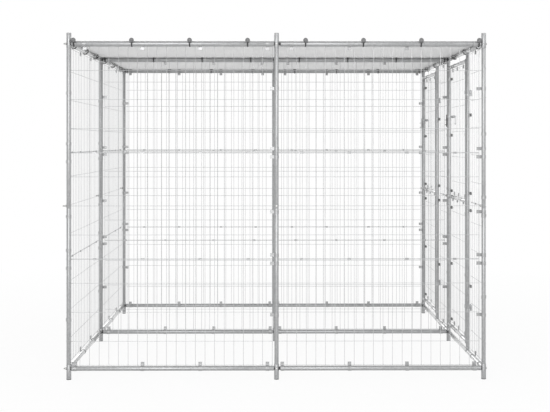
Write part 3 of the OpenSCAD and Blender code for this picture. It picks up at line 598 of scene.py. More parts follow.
class Forge:
    """Makes the small meshes that the pieces are put together from."""

    @staticmethod
    def keep(bm: Shape) -> Mesh:
        """Merge a shape's doubles, turn its faces outwards and keep it.

        Args:
            bm: The shape, which is used up.

        Returns:
            The shape as a mesh, with its points and faces in an order that is the same each run.
        """
        bmesh.ops.remove_doubles(bm, verts=bm.verts[:], dist=MERGE)
        bmesh.ops.recalc_face_normals(bm, faces=bm.faces[:])
        verts = sorted(bm.verts, key=lambda vert: vert.co.to_tuple(ORDER_DIGITS))
        rank = {vert: i for i, vert in enumerate(verts)}
        faces = []
        for face in bm.faces:
            corners = [rank[vert] for vert in face.verts]
            first = corners.index(min(corners))
            faces.append(corners[first:] + corners[:first])
        mesh = bpy.data.meshes.new("stamp")
        mesh.from_pydata([vert.co.copy() for vert in verts], [], sorted(faces))
        bm.free()
        return mesh

    @staticmethod
    def soften(bm: Shape, size: float) -> None:
        """Round every edge of a shape."""
        bmesh.ops.bevel(
            bm, geom=bm.edges[:], offset=size, offset_type="OFFSET", segments=2, profile=0.5, affect="EDGES",
            material=-1, clamp_overlap=True,
        )

    @staticmethod
    def cone(bm: Shape, ends: Sequence[float], length: float, segments: int, place: Matrix = HERE) -> None:
        """Add a closed cone along Z, centred on its place, with the radii of its lower and upper ends."""
        bmesh.ops.create_cone(
            bm, cap_ends=True, segments=segments, radius1=ends[0], radius2=ends[1], depth=length, matrix=place
        )

    @staticmethod
    def chain(bm: Shape, points: Iterable[Sequence[float]], closed: bool = False) -> tuple[list, list]:
        """Add points joined by edges.

        Args:
            bm: The shape that takes them.
            points: The points in order.
            closed: True where the last point joins the first.

        Returns:
            The new vertices and the new edges.
        """
        verts = [bm.verts.new(point) for point in points]
        nexts = verts[1:] + verts[:1] if closed else verts[1:]
        return verts, [bm.edges.new(pair) for pair in zip(verts, nexts)]

    @staticmethod
    def side(radius: float, length: float, lip: float) -> list[tuple[float, float]]:
        """Outline the round side of a tube that stands on the origin.

        Args:
            radius: Outside radius.
            length: Length along Z.
            lip: Size of the softened corners.

        Returns:
            Three points at the lower corner, then three at the upper one.
        """
        ease = EASE * lip
        lower = [(radius - lip, 0), (radius - ease, ease), (radius, lip)]
        return lower + [(radius, length - lip), (radius - ease, length - ease), (radius - lip, length)]

    @classmethod
    def lathe(cls, outline: Outline, segments: int, closed: bool = False) -> Mesh:
        """Spin an outline of (radius, height) points about Z.

        Args:
            outline: The points, of which the first and last may lie on the axis.
            segments: Steps in the full turn.
            closed: True where the last point joins the first, as for a tube.

        Returns:
            The spun shape.
        """
        bm = bmesh.new()
        verts, edges = cls.chain(bm, ((radius, 0, height) for radius, height in outline), closed)
        bmesh.ops.spin(
            bm, geom=[*verts, *edges], cent=(0, 0, 0), axis=(0, 0, 1), angle=math.tau, steps=segments,
            use_merge=True,
        )
        return cls.keep(bm)

    @classmethod
    def tube(cls, outer: float, wall: float, length: float, lip: float = 0.35 * MM) -> Mesh:
        """Make a tube that stands on the origin.

        Args:
            outer: Outside radius.
            wall: Wall thickness.
            length: Length along Z.
            lip: Size of the softened outside corners.

        Returns:
            The tube.
        """
        inner = outer - wall
        outline = [(inner, 0), *cls.side(outer, length, lip), (inner, length)]
        return cls.lathe(outline, TUBE_SIDES, closed=True)

    @classmethod
    def bead(cls, radius: float, outline: Outline, segments: int) -> Mesh:
        """Make a weld bead round a tube, from an outline that starts at the tube's radius."""
        return cls.lathe([(radius + out, height) for out, height in outline], segments, closed=True)

    @classmethod
    def rod(cls, radius: float, length: float, lip: float, segments: int) -> Mesh:
        """Make a solid rod that stands on the origin, with chamfered ends."""
        sides = [(radius - lip, 0), (radius, lip), (radius, length - lip), (radius - lip, length)]
        return cls.lathe([(0, 0), *sides, (0, length)], segments)

    @classmethod
    def dome(cls, radius: float, height: float, rim: float) -> Mesh:
        """Make a domed head that stands on the origin.

        Args:
            radius: Radius of the head.
            height: Height of the whole head.
            rim: Height of its straight rim.

        Returns:
            The head.
        """
        steps = 5
        crown = [(radius * x, rim + (height - rim) * y) for x, y in arc(1.0, 0, 90, steps)[:-1]]
        return cls.lathe(((0, 0), (radius, 0), *crown, (0, height)), HEAD_SIDES)

    @classmethod
    def thread(cls, radius: float, length: float, pitch: float, depth: float) -> Mesh:
        """Make a threaded rod that stands on the origin, with a chamfered end.

        Args:
            radius: Radius over the crests.
            length: Length along Z.
            pitch: Distance between crests.
            depth: Depth of the thread.

        Returns:
            The rod.
        """
        turns = max(1, int((length - pitch) / pitch))
        outline = [(0.0, 0.0)]
        for i in range(turns):
            outline += [(radius - depth, i * pitch), (radius, (i + 0.5) * pitch)]
        outline += [(radius - depth, length - 0.5 * pitch), (radius - 2 * depth, length), (0.0, length)]
        return cls.lathe(outline, THREAD_SIDES)

    @classmethod
    def strip(cls, path: Outline, width: float, thickness: float) -> Mesh:
        """Bend a flat strip along a path in the XY plane, with its width along Z.

        Args:
            path: The points of the strip's inner face, with its outer face to the right of the path.
            width: Width of the strip.
            thickness: Thickness of the strip.

        Returns:
            The strip, centred on the plane.
        """
        bm = bmesh.new()
        _, edges = cls.chain(bm, ((x, y, -width / 2) for x, y in path))
        made = bmesh.ops.extrude_edge_only(bm, edges=edges)["geom"]
        raised = [v for v in made if isinstance(v, bmesh.types.BMVert)]
        bmesh.ops.translate(bm, verts=raised, vec=(0, 0, width))
        bmesh.ops.solidify(bm, geom=bm.faces[:], thickness=thickness)
        return cls.keep(bm)

    @classmethod
    def block(cls, low: Sequence[float], high: Sequence[float], bevel: float) -> Mesh:
        """Make a block between two corners, with rounded edges.

        Args:
            low: The lowest corner.
            high: The highest corner.
            bevel: Size of the rounding.

        Returns:
            The block.
        """
        bm = bmesh.new()
        low, high = Vector(low), Vector(high)
        size = Matrix.Diagonal((*(high - low), 1))
        bmesh.ops.create_cube(bm, size=1, matrix=Matrix.Translation((low + high) / 2) @ size)
        cls.soften(bm, bevel)
        return cls.keep(bm)

    @classmethod
    def nut(cls, across: float, height: float, bevel: float) -> Mesh:
        """Make a hexagon nut that stands on the origin.

        Args:
            across: Width across its flats.
            height: Height of the nut.
            bevel: Size of the rounding at its edges.

        Returns:
            The nut.
        """
        bm = bmesh.new()
        sides = 6
        radius = across / 2 / math.cos(math.pi / sides)
        cls.cone(bm, (radius, radius), height, sides, at(z=height / 2))
        cls.soften(bm, bevel)
        return cls.keep(bm)

    @classmethod
    def screw(cls, radius: float, start: float, seat: float, head: float) -> Mesh:
        """Make a screw along Z with a tapered head and a hexagon socket.

        Args:
            radius: Radius of the shank.
            start: Height of its tip.
            seat: Height of the underside of its head.
            head: Height of the head.

        Returns:
            The screw.
        """
        bm = bmesh.new()
        head_sides, shank_sides = 12, 8
        cls.cone(bm, (2 * radius, 1.6 * radius), head, head_sides, at(z=seat + head / 2))
        top = max(bm.faces, key=lambda face: face.calc_center_median().z)
        bmesh.ops.inset_individual(bm, faces=[top], thickness=0.8 * radius)
        bmesh.ops.translate(bm, verts=top.verts[:], vec=(0, 0, -0.6 * head))
        length = seat - start
        cls.cone(bm, (0.7 * radius, radius), length, shank_sides, at(z=start + length / 2))
        return cls.keep(bm)

    @classmethod
    def hoop(cls, radius: float, cord_r: float, start: float, sweep: float, offset: float) -> Mesh:
        """Bend a length of cord about the X axis.

        Args:
            radius: Distance of the cord's middle from the axis.
            cord_r: Radius of the cord.
            start: Angle of its first end from +Y towards +Z, in degrees.
            sweep: Angle that it covers, in degrees.
            offset: Place of the cord along X.

        Returns:
            The cord, closed at both ends.
        """
        bm = bmesh.new()
        sides, steps = 8, 26
        place = turned(start, "X") @ at(offset, radius)
        made = bmesh.ops.create_circle(bm, cap_ends=False, segments=sides, radius=cord_r, matrix=place)
        ring = made["verts"]
        edges = list({edge for vert in ring for edge in vert.link_edges})
        bmesh.ops.spin(
            bm, geom=[*ring, *edges], cent=(0, 0, 0), axis=(1, 0, 0), angle=math.radians(sweep), steps=steps,
            use_merge=False,
        )
        bmesh.ops.holes_fill(bm, edges=bm.edges[:], sides=0)
        return cls.keep(bm)


class Piece:
    """One named piece, put together from stamps."""

    def __init__(self, name: str) -> None:
        """Start an empty piece."""
        self.name = name
        self.bm = bmesh.new()

    def add(self, stamp: Mesh, place: Matrix = HERE) -> "Piece":
        """Add a copy of a stamp.

        Args:
            stamp: The mesh to copy.
            place: Where the copy goes.

        Returns:
            The piece itself.
        """
        copy = stamp.copy()
        copy.transform(place)
        self.bm.from_mesh(copy)
        bpy.data.meshes.remove(copy)
        return self

    def deliver(self, finish: Finish, body: Body, *nodes: str) -> bpy.types.Object:
        """Turn the piece into an object that rides on a body.

        Args:
            finish: The piece's finish.
            body: The body that it moves with.
            *nodes: The CAD nodes that it stands for.

        Returns:
            The object, at the origin with its place in its mesh.
        """
        bmesh.ops.recalc_face_normals(self.bm, faces=self.bm.faces[:])
        mesh = bpy.data.meshes.new(self.name)
        self.bm.to_mesh(mesh)
        self.bm.free()
        mesh.polygons.foreach_set("use_smooth", [True] * len(mesh.polygons))
        mesh.set_sharp_from_angle(angle=SHARP)
        mesh.materials.append(finish.material())
        made = bpy.data.objects.new(self.name, mesh)
        bpy.context.scene.collection.objects.link(made)
        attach(made, body.value)
        if nodes:
            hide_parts(*nodes)
        LOG.info("%s: %d faces on %s", self.name, len(mesh.polygons), body.value)
        return made


@dataclass(frozen=True)
class FramePosts:
    """The nine posts with their connectors, feet and caps."""

    layout: Layout
    slip: float = 0.15 * MM
    sleeve_wall: float = 1.55 * MM
    sleeve_length: float = 76 * MM
    sleeve_lip: float = 0.6 * MM
    plug_depth: float = 25 * MM
    foot_crown: float = 0.4 * MM
    cap_crown: float = 1.4 * MM
    rib: float = 0.5 * MM
    rib_shares: tuple[float, ...] = (0.45, 0.75)

    def build(self) -> None:
        """Make each post, then the pieces that sit on all of them."""
        lay = self.layout
        low = lay.plug_flange
        high = lay.post_height - lay.plug_flange
        lower = Forge.tube(lay.post_r, lay.tube_wall, lay.joint_z - self.slip - low)
        upper = Forge.tube(lay.post_r, lay.tube_wall, high - lay.joint_z - self.slip)
        sleeve = Forge.tube(lay.sleeve_r, self.sleeve_wall, self.sleeve_length, self.sleeve_lip)
        foot, cap = self.plug(self.foot_crown), self.plug(self.cap_crown)
        sleeves, feet, caps = Piece("post_sleeves"), Piece("foot_plugs"), Piece("cap_plugs")
        for name, _, _, place in lay.posts():
            post = Piece(f"{name}_tube")
            post.add(lower, place @ at(z=low))
            post.add(upper, place @ at(z=lay.joint_z + self.slip))
            post.deliver(POST_ZINC, Body.FRAME, name)
            sleeves.add(sleeve, place @ at(z=low))
            sleeves.add(sleeve, place @ at(z=high - self.sleeve_length))
            feet.add(foot, place)
            caps.add(cap, place @ at(z=lay.post_height) @ MIRROR_Z)
        sleeves.deliver(POST_ZINC, Body.FRAME, "post_connectors")
        feet.deliver(FOOT_PLASTIC, Body.FRAME, "post_feet")
        caps.deliver(CAP_PLASTIC, Body.FRAME, "post_caps")
        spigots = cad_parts["post_joint_spigots"]
        spigots.data.materials.clear()
        spigots.data.materials.append(POST_ZINC.material())

    def plug(self, crown: float) -> Mesh:
        """Make a plug whose flange stands on the origin.

        Args:
            crown: Size of the rounding at the flange's outer edge.

        Returns:
            The plug, with two gripping ribs on its shank.
        """
        lay = self.layout
        rib, flange = self.rib, lay.plug_flange
        shank = lay.post_r - lay.tube_wall - self.slip
        corner = Forge.side(lay.sleeve_r, flange, crown)[:3]
        outline = [(0, 0), *corner, (lay.sleeve_r, flange), (shank - rib, flange)]
        for share in self.rib_shares:
            z = share * self.plug_depth
            outline += [(shank - rib, z - 2 * rib), (shank, z), (shank - rib, z + 2 * rib)]
        outline += [(shank - 2 * rib, self.plug_depth), (0, self.plug_depth)]
        return Forge.lathe(outline, TUBE_SIDES)


@dataclass(frozen=True)
class WallRails:
    """The rails of the five walls, their dark end inserts and the door jambs."""

    layout: Layout
    gap: float = 1.5 * MM
    wide_gap: float = 9.5 * MM
    insert_length: float = 40 * MM
    neck_r: float = 8.9 * MM
    groove: float = 0.8 * MM
    groove_shares: tuple[float, ...] = (0.4, 0.7)
    slip: float = 0.15 * MM
    saddle_width: float = 30 * MM
    saddle_t: float = 1.5 * MM
    saddle_steps: int = 14
    bead: Outline = ((-0.5 * MM, 0.0), (1.6 * MM, 0.2 * MM), (-0.2 * MM, 3.4 * MM))
    bead_sink: float = 1.2 * MM

    def build(self) -> None:
        """Make the rails wall by wall, then the inserts and the jambs."""
        inserts = Piece("rail_inserts")
        for wall in Wall:
            rails = Piece(f"{wall.value}_rail_tubes")
            for index in range(2):
                near = self.wide_gap if wall is Wall.FRONT and index == 1 else self.gap
                place = self.layout.in_wall(wall, index)
                for level in self.layout.rail_levels:
                    self.fit(rails, inserts, place @ at(z=level), near)
            side = wall in (Wall.LEFT, Wall.RIGHT)
            # The side walls' rails take the paler zinc copy, whose lighter colour is a painted highlight.
            rails.deliver(SIDE_RAIL_ZINC_PAINTED_HIGHLIGHT if side else RAIL_ZINC, Body.FRAME, f"{wall.value}_rails")
        inserts.deliver(INSERT_PLASTIC, Body.FRAME, "rail_end_inserts")
        for index, name in enumerate(("front", "rear")):
            self.jamb(f"{name}_door_jamb", index)

    def fit(self, rails: Piece, inserts: Piece, place: Matrix, near: float) -> None:
        """Add a rail along x and its two inserts.

        Args:
            rails: The piece that takes the rail.
            inserts: The piece that takes the inserts.
            place: The place of the rail's axis at the near post.
            near: Gap between the near connector and the rail.
        """
        lay = self.layout
        start = lay.sleeve_r + near
        end = lay.bay - lay.sleeve_r - self.gap
        rails.add(Forge.tube(lay.rail_r, lay.tube_wall, end - start), place @ at(start) @ ALONG_X)
        inserts.add(self.insert(near), place @ ALONG_X)
        inserts.add(self.insert(self.gap), place @ at(lay.bay) @ MIRROR_X @ ALONG_X)

    def insert(self, gap: float) -> Mesh:
        """Make an insert along Z, with its neck on the connector and its plug in the rail.

        Args:
            gap: Gap between the connector and the rail.

        Returns:
            The insert, with two grooves round its plug.
        """
        lay = self.layout
        groove = self.groove
        plug = lay.rail_r - lay.tube_wall - self.slip
        root = math.sqrt((lay.sleeve_r + self.slip) ** 2 - self.neck_r**2)
        start = lay.sleeve_r + gap
        end = start + self.insert_length
        waist = plug - groove
        neck = [(0, root), (self.neck_r, root), (self.neck_r, start)]
        outline = [*neck, (waist, start), (plug, start + groove)]
        for share in self.groove_shares:
            z = start + share * self.insert_length
            outline += [(plug, z), (waist, z + groove), (waist, z + 3 * groove), (plug, z + 4 * groove)]
        outline += [(plug, end - 2 * groove), (plug - 2 * groove, end), (0, end)]
        return Forge.lathe(outline, ROD_SIDES)

    def jamb(self, node: str, index: int) -> None:
        """Make a jamb that stands between the right wall's rails on two saddles.

        Args:
            node: The CAD node that it stands for.
            index: 0 for the front door and 1 for the rear one.
        """
        lay = self.layout
        low, high = lay.low_rail + lay.rail_r, lay.high_rail - lay.rail_r
        place = lay.in_wall(Wall.RIGHT, index) @ at(lay.jamb_u)
        jamb = Piece(f"{node}_tube")
        jamb.add(Forge.tube(lay.post_r, lay.tube_wall, high - low), place @ at(z=low))
        radius = lay.rail_r + lay.seat
        saddle = Forge.strip(arc(radius, 0, 180, self.saddle_steps), self.saddle_width, self.saddle_t)
        bead = Forge.bead(lay.post_r, self.bead, TUBE_SIDES)
        for level, flip in zip(lay.rail_levels, (HERE, MIRROR_Z)):
            jamb.add(saddle, place @ at(z=level) @ flip @ turned(90) @ turned(90, "X"))
            jamb.add(bead, place @ at(z=level) @ flip @ at(z=radius + self.saddle_t - self.bead_sink))
        jamb.deliver(POST_ZINC, Body.FRAME, node)


@dataclass(frozen=True)
class WireSheet:
    """A welded sheet: upright wires with cross wires welded to their inner side."""

    layout: Layout
    columns: int
    height: float
    wire_r: float = 1.1 * MM
    wire_sides: int = 8
    weld_r: float = 1.55 * MM
    weld_depth: float = 0.9
    row: float = 153 * MM
    row_margin: float = 75 * MM
    overhang: float = 1.2 * MM

    def rows(self) -> list[float]:
        """Space the cross wires evenly from the middle of the sheet.

        Returns:
            Their heights above the lowest one.
        """
        half = self.height / 2
        count = math.floor((half - self.row_margin) / self.row)
        return [0.0, *(half + i * self.row for i in range(-count, count + 1)), self.height]

    def stamp(self) -> Mesh:
        """Make the sheet with a weld wherever its wires cross.

        Returns:
            The sheet, with its first upright wire at x = 0 and its lowest cross wire at z = 0.
        """
        lay = self.layout
        bm = bmesh.new()
        squash = Matrix.Diagonal((1, self.weld_depth, 1, 1))
        width = self.columns * lay.column
        uprights = [i * lay.column for i in range(self.columns + 1)]
        for x in uprights:
            self.wire(bm, self.height, at(x, lay.upright_n, self.height / 2))
        for z in self.rows():
            self.wire(bm, width, at(width / 2, lay.upright_n + lay.wire_lap, z) @ ALONG_X)
            for x in uprights:
                place = at(x, lay.upright_n + lay.wire_lap / 2, z) @ squash
                bmesh.ops.create_icosphere(bm, subdivisions=1, radius=self.weld_r, matrix=place)
        return Forge.keep(bm)

    def wire(self, bm: Shape, length: float, place: Matrix) -> None:
        """Add a round wire, centred on its place, that stands a little past its end wires."""
        Forge.cone(bm, (self.wire_r, self.wire_r), length + 2 * self.overhang, self.wire_sides, place)


@dataclass(frozen=True)
class WireWalls:
    """The wire sheets of the walls and of the fixed panels beside the doors."""

    layout: Layout

    def build(self) -> None:
        """Make the sheets of each full bay, then those of the two panels."""
        lay = self.layout
        strip = WireSheet(lay, lay.bay_columns, lay.strip_height).stamp()
        for bay in WIRED_BAYS:
            piece = Piece(f"{bay.node}_wires")
            for z in lay.strips:
                piece.add(strip, bay.place(lay) @ at(bay.edge(lay), 0, z))
            piece.deliver(WIRE_ZINC, Body.FRAME, bay.node)
        for index, node in enumerate(("right_front_mesh", "right_rear_mesh")):
            piece = Piece(f"{node}_wires")
            for low, high in lay.panels:
                sheet = WireSheet(lay, lay.panel_columns, high - low).stamp()
                piece.add(sheet, lay.in_wall(Wall.RIGHT, index) @ MIRROR_Y @ at(lay.panel_edge, 0, low))
            piece.deliver(WIRE_ZINC, Body.FRAME, node)


@dataclass(frozen=True)
class WireClip:
    """A strap round a tube along Z, whose ears hold an edge wire towards +x, with its screw."""

    tube_r: float
    width: float
    wire_n: float
    reach: float
    web: float
    screw_x: float
    strap_t: float = 1.2 * MM
    slack: float = 0.2 * MM
    grip: float = 1.4 * MM
    screw_r: float = 2 * MM
    head: float = 2.5 * MM
    tip: float = 1 * MM
    lead: float = 2 * MM
    corner: float = 0.5 * MM
    turn: tuple[float, float] = (90.0, 435.0)
    steps: int = 14

    def strap(self) -> Mesh:
        """Bend the strap from an ear into a turn round the tube.

        Returns:
            The strap.
        """
        ring = self.tube_r + self.slack
        ear = self.wire_n - self.grip - self.strap_t
        lead = self.lead + max(0.0, ear - ring)
        path = [(self.reach, ear), (lead, ear), *arc(ring, *self.turn, self.steps)]
        return Forge.strip(path, self.width, self.strap_t)

    def plate(self) -> Mesh:
        """Fold the plate that closes over the wire.

        Returns:
            The plate.
        """
        ear = self.wire_n + self.grip
        inside = self.web + self.strap_t
        fold = [(inside + self.corner, ear), (inside, ear - self.corner)]
        path = [(self.reach, ear), *fold, (inside, self.wire_n - self.grip)]
        return Forge.strip(path, self.width, self.strap_t)

    def screw(self) -> Mesh:
        """Return the screw through both ears, along Z."""
        start = self.wire_n - self.grip - self.strap_t - self.tip
        return Forge.screw(self.screw_r, start, self.wire_n + self.grip + self.strap_t, self.head)


@dataclass(frozen=True)
class ClipMaker:
    """Sizes that the clips of the walls and the doors share."""

    layout: Layout
    post_width: float = 17 * MM
    rail_width: float = 19 * MM
    ear_past: float = 11.6 * MM
    screw_past: float = 6.1 * MM
    web_before: float = 6.6 * MM
    rail_ear: float = 30 * MM
    rail_screw: float = 22 * MM
    rail_web: float = 10.6 * MM

    def upright(self, edge: float) -> WireClip:
        """Return the clip that holds an upright wire at that distance from its tube."""
        places = edge + self.ear_past, edge - self.web_before, edge + self.screw_past
        return WireClip(self.layout.post_r, self.post_width, self.layout.upright_n, *places)

    def level(self, tube_r: float) -> WireClip:
        """Return the clip that holds a cross wire to a rail of that radius."""
        cross = self.layout.upright_n + self.layout.wire_lap
        return WireClip(tube_r, self.rail_width, cross, self.rail_ear, self.rail_web, self.rail_screw)


class ClipTray:
    """The clips and screws of one set, collected as they are placed."""

    def __init__(self, clip: WireClip, turn: Matrix = HERE) -> None:
        """Make the stamps of a clip.

        Args:
            clip: The clip.
            turn: The matrix from the clip's own axes to its tube's.
        """
        self.clip, self.turn = clip, turn
        self.stamps = (clip.strap(), clip.plate())
        self.screw = clip.screw()

    def place(self, clips: Piece, screws: Piece, place: Matrix) -> None:
        """Add a clip and its screw.

        Args:
            clips: The piece that takes the clip.
            screws: The piece that takes the screw.
            place: The place of the clip's tube axis.
        """
        for stamp in self.stamps:
            clips.add(stamp, place @ self.turn)
        screws.add(self.screw, place @ self.turn @ at(self.clip.screw_x) @ ALONG_Y)


@dataclass(frozen=True)
class WallClips:
    """The clips on posts, jambs and rails, and the ties between stacked sheets."""

    layout: Layout
    maker: ClipMaker
    post_shift: tuple[float, ...] = (-13 * MM, -31 * MM, 58 * MM)
    panel_gaps: tuple[int, ...] = (1, 5)
    panel_low: float = -58 * MM
    panel_joint: tuple[float, float] = (-45 * MM, 49 * MM)
    post_high: float = -38 * MM
    jamb_high: float = 72 * MM
    tie_width: float = 18 * MM
    tie_height: float = 10 * MM
    tie_t: float = 1.2 * MM
    tie_grip: float = 1.4 * MM
    tie_corner: float = 0.5 * MM

    def build(self) -> None:
        """Place every clip, screw and tie."""
        lay = self.layout
        on_posts, on_rails, screws, ties = (
            Piece(name) for name in ("post_strap_clips", "rail_strap_clips", "clip_screws", "sheet_ties")
        )
        panel_tray = ClipTray(self.maker.upright(lay.panel_edge))
        rail_tray = ClipTray(self.maker.level(lay.rail_r), SWAP_XZ)
        tie = self.tie()
        for bay in WIRED_BAYS:
            place = bay.place(lay)
            edge = bay.edge(lay)
            bay_tray = ClipTray(self.maker.upright(lay.tab_edge(edge)))
            for z in self.post_heights(bay):
                bay_tray.place(on_posts, screws, place @ at(lay.bay, 0, z) @ MIRROR_X)
            rows = ((bay.low_gaps, lay.low_rail, HERE), (bay.high_gaps, lay.high_rail, MIRROR_Z))
            for gaps, level, flip in rows:
                for x in self.gap_places(gaps, edge):
                    rail_tray.place(on_rails, screws, place @ at(x, 0, level) @ flip)
            for z in lay.strip_joints:
                for x in self.gap_places(bay.tie_gaps, edge):
                    ties.add(tie, place @ at(x, 0, z))
        for index in range(2):
            place = lay.in_wall(Wall.RIGHT, index) @ MIRROR_Y
            for z in self.panel_heights(self.post_high):
                panel_tray.place(on_posts, screws, place @ at(z=z))
            for z in self.panel_heights(self.jamb_high):
                panel_tray.place(on_posts, screws, place @ at(lay.jamb_u, 0, z) @ MIRROR_X)
            for x in self.gap_places(self.panel_gaps, lay.panel_edge):
                rail_tray.place(on_rails, screws, place @ at(x, 0, lay.low_rail))
                rail_tray.place(on_rails, screws, place @ at(x, 0, lay.high_rail) @ MIRROR_Z)
                ties.add(tie, place @ at(x, 0, lay.panel_joint))
        on_posts.deliver(CLIP_ZINC, Body.FRAME, "post_clips")
        on_rails.deliver(CLIP_ZINC, Body.FRAME, "rail_clips")
        screws.deliver(FASTENER_ZINC, Body.FRAME, "wall_clip_screws")
        ties.deliver(CLIP_ZINC, Body.FRAME, "mesh_tie_clips")

    def gap_places(self, gaps: Sequence[int], edge: float) -> list[float]:
        """Return the middles of the gaps between upright wires, numbered from the edge wire."""
        return [edge + self.layout.column * (gap + 0.5) for gap in gaps]

    def post_heights(self, bay: WiredBay) -> list[float]:
        """Space the clips on a bay's post: one to a sheet, and two where sheets meet.

        Args:
            bay: The bay.

        Returns:
            The heights of the clips.
        """
        by_middle = [z + s - bay.clip_drop for z, s in zip(self.layout.strip_middles, self.post_shift)]
        by_joint = [z + way * bay.clip_joint for z in self.layout.strip_joints for way in (-1, 1)]
        return by_middle + by_joint

    def panel_heights(self, high: float) -> list[float]:
        """Return the heights of the clips at one side of a fixed panel.

        Args:
            high: Distance of the top clip from the middle of the upper sheet.

        Returns:
            The heights.
        """
        lower, upper = self.layout.panels
        by_joint = [lower[1] + self.panel_joint[0], upper[0] + self.panel_joint[1]]
        return [sum(lower) / 2 + self.panel_low, *by_joint, sum(upper) / 2 + high]

    def tie(self) -> Mesh:
        """Fold a strip that hooks over the two edge wires where sheets meet.

        Returns:
            The tie.
        """
        cross = self.layout.upright_n + self.layout.wire_lap
        near, far = cross - self.tie_grip, cross + self.tie_grip
        low, high = -self.tie_height / 2, self.tie_height / 2 - self.tie_t
        corner = self.tie_corner
        path = [(low, near), (high - corner, near), (high, near + corner)]
        path += [(high, far - corner), (high - corner, far), (low, far)]
        stamp = Forge.strip(path, self.tie_width, self.tie_t)
        stamp.transform(SWAP_XZ)
        return stamp


@dataclass(frozen=True)
class FrameBolts:
    """Bolts and nuts at the post joints, the connectors and the latch keepers."""

    layout: Layout
    shank_r: float = 4 * MM
    across: float = 13 * MM
    nut_height: float = 6.5 * MM
    dome_r: float = 6.5 * MM
    dome_height: float = 4.5 * MM
    dome_rim: float = 0.8 * MM
    nut_bevel: float = 0.6 * MM
    pitch: float = 1.25 * MM
    thread: float = 0.55 * MM
    root: float = 2 * MM
    long_stud: float = 21 * MM
    short_stud: float = 15 * MM
    inner_stud: float = 12 * MM
    joint_rise: float = 12 * MM
    slip: float = 0.15 * MM
    keeper_r: float = 3 * MM
    keeper_stud: float = 12 * MM
    keeper_plate: float = 3 * MM
    keeper_head: float = 2.5 * MM
    keeper_rim: float = 0.7 * MM
    keeper_pitch: float = 1 * MM
    keeper_thread: float = 0.45 * MM
    keeper_heights: tuple[float, float] = (1385 * MM, 1355 * MM)

    def build(self) -> None:
        """Place every bolt and nut; x points out of the post."""
        lay = self.layout
        bolts, nuts = Piece("post_bolts"), Piece("post_nuts")
        dome = Forge.dome(self.dome_r, self.dome_height, self.dome_rim)
        nut = Forge.nut(self.across, self.nut_height, self.nut_bevel)
        for _, row, side, post in lay.posts():
            outward = 90 if row == 1 else -90
            rail_turn = {-1: 180, 0: outward, 1: 0}[side]
            joint = post @ at(z=lay.joint_z + self.joint_rise) @ turned(outward if side == 0 else 180)
            rails = [post @ at(z=z) @ turned(rail_turn) for z in lay.rail_levels]
            studs = [(joint, lay.post_r, self.long_stud if side == -1 else self.inner_stud)] if side else []
            studs += [(place, lay.sleeve_r, self.short_stud) for place in rails] if side == -1 else []
            heads = [(joint, lay.post_r)] if side == 0 else []
            heads += [(place, lay.sleeve_r) for place in rails] if side != -1 else []
            for place, reach, length in studs:
                stud = Forge.thread(self.shank_r, length + self.root, self.pitch, self.thread)
                bolts.add(stud, place @ at(reach - self.root) @ ALONG_X)
                nuts.add(nut, place @ at(reach + self.slip) @ ALONG_X)
            for place, reach in heads:
                bolts.add(dome, place @ at(reach + self.slip) @ ALONG_X)
        self.keeper_bolts(bolts)
        bolts.deliver(FASTENER_ZINC, Body.FRAME, "frame_bolts")
        nuts.deliver(FASTENER_ZINC, Body.FRAME, "frame_nuts")

    def keeper_bolts(self, bolts: Piece) -> None:
        """Add the through bolts that hold the latch keepers to their posts.

        Args:
            bolts: The piece that takes them.
        """
        lay = self.layout
        outside = lay.post_r + lay.seat + self.keeper_plate
        length = 2 * outside + self.keeper_stud
        head = Forge.dome(2 * self.keeper_r, self.keeper_head, self.keeper_rim)
        shank = Forge.thread(self.keeper_r, length, self.keeper_pitch, self.keeper_thread)
        for index in range(1, 3):
            for z in self.keeper_heights:
                place = lay.in_wall(Wall.RIGHT, index) @ at(0, -outside, z) @ ALONG_Y
                bolts.add(head, place @ MIRROR_Z)
                bolts.add(shank, place)


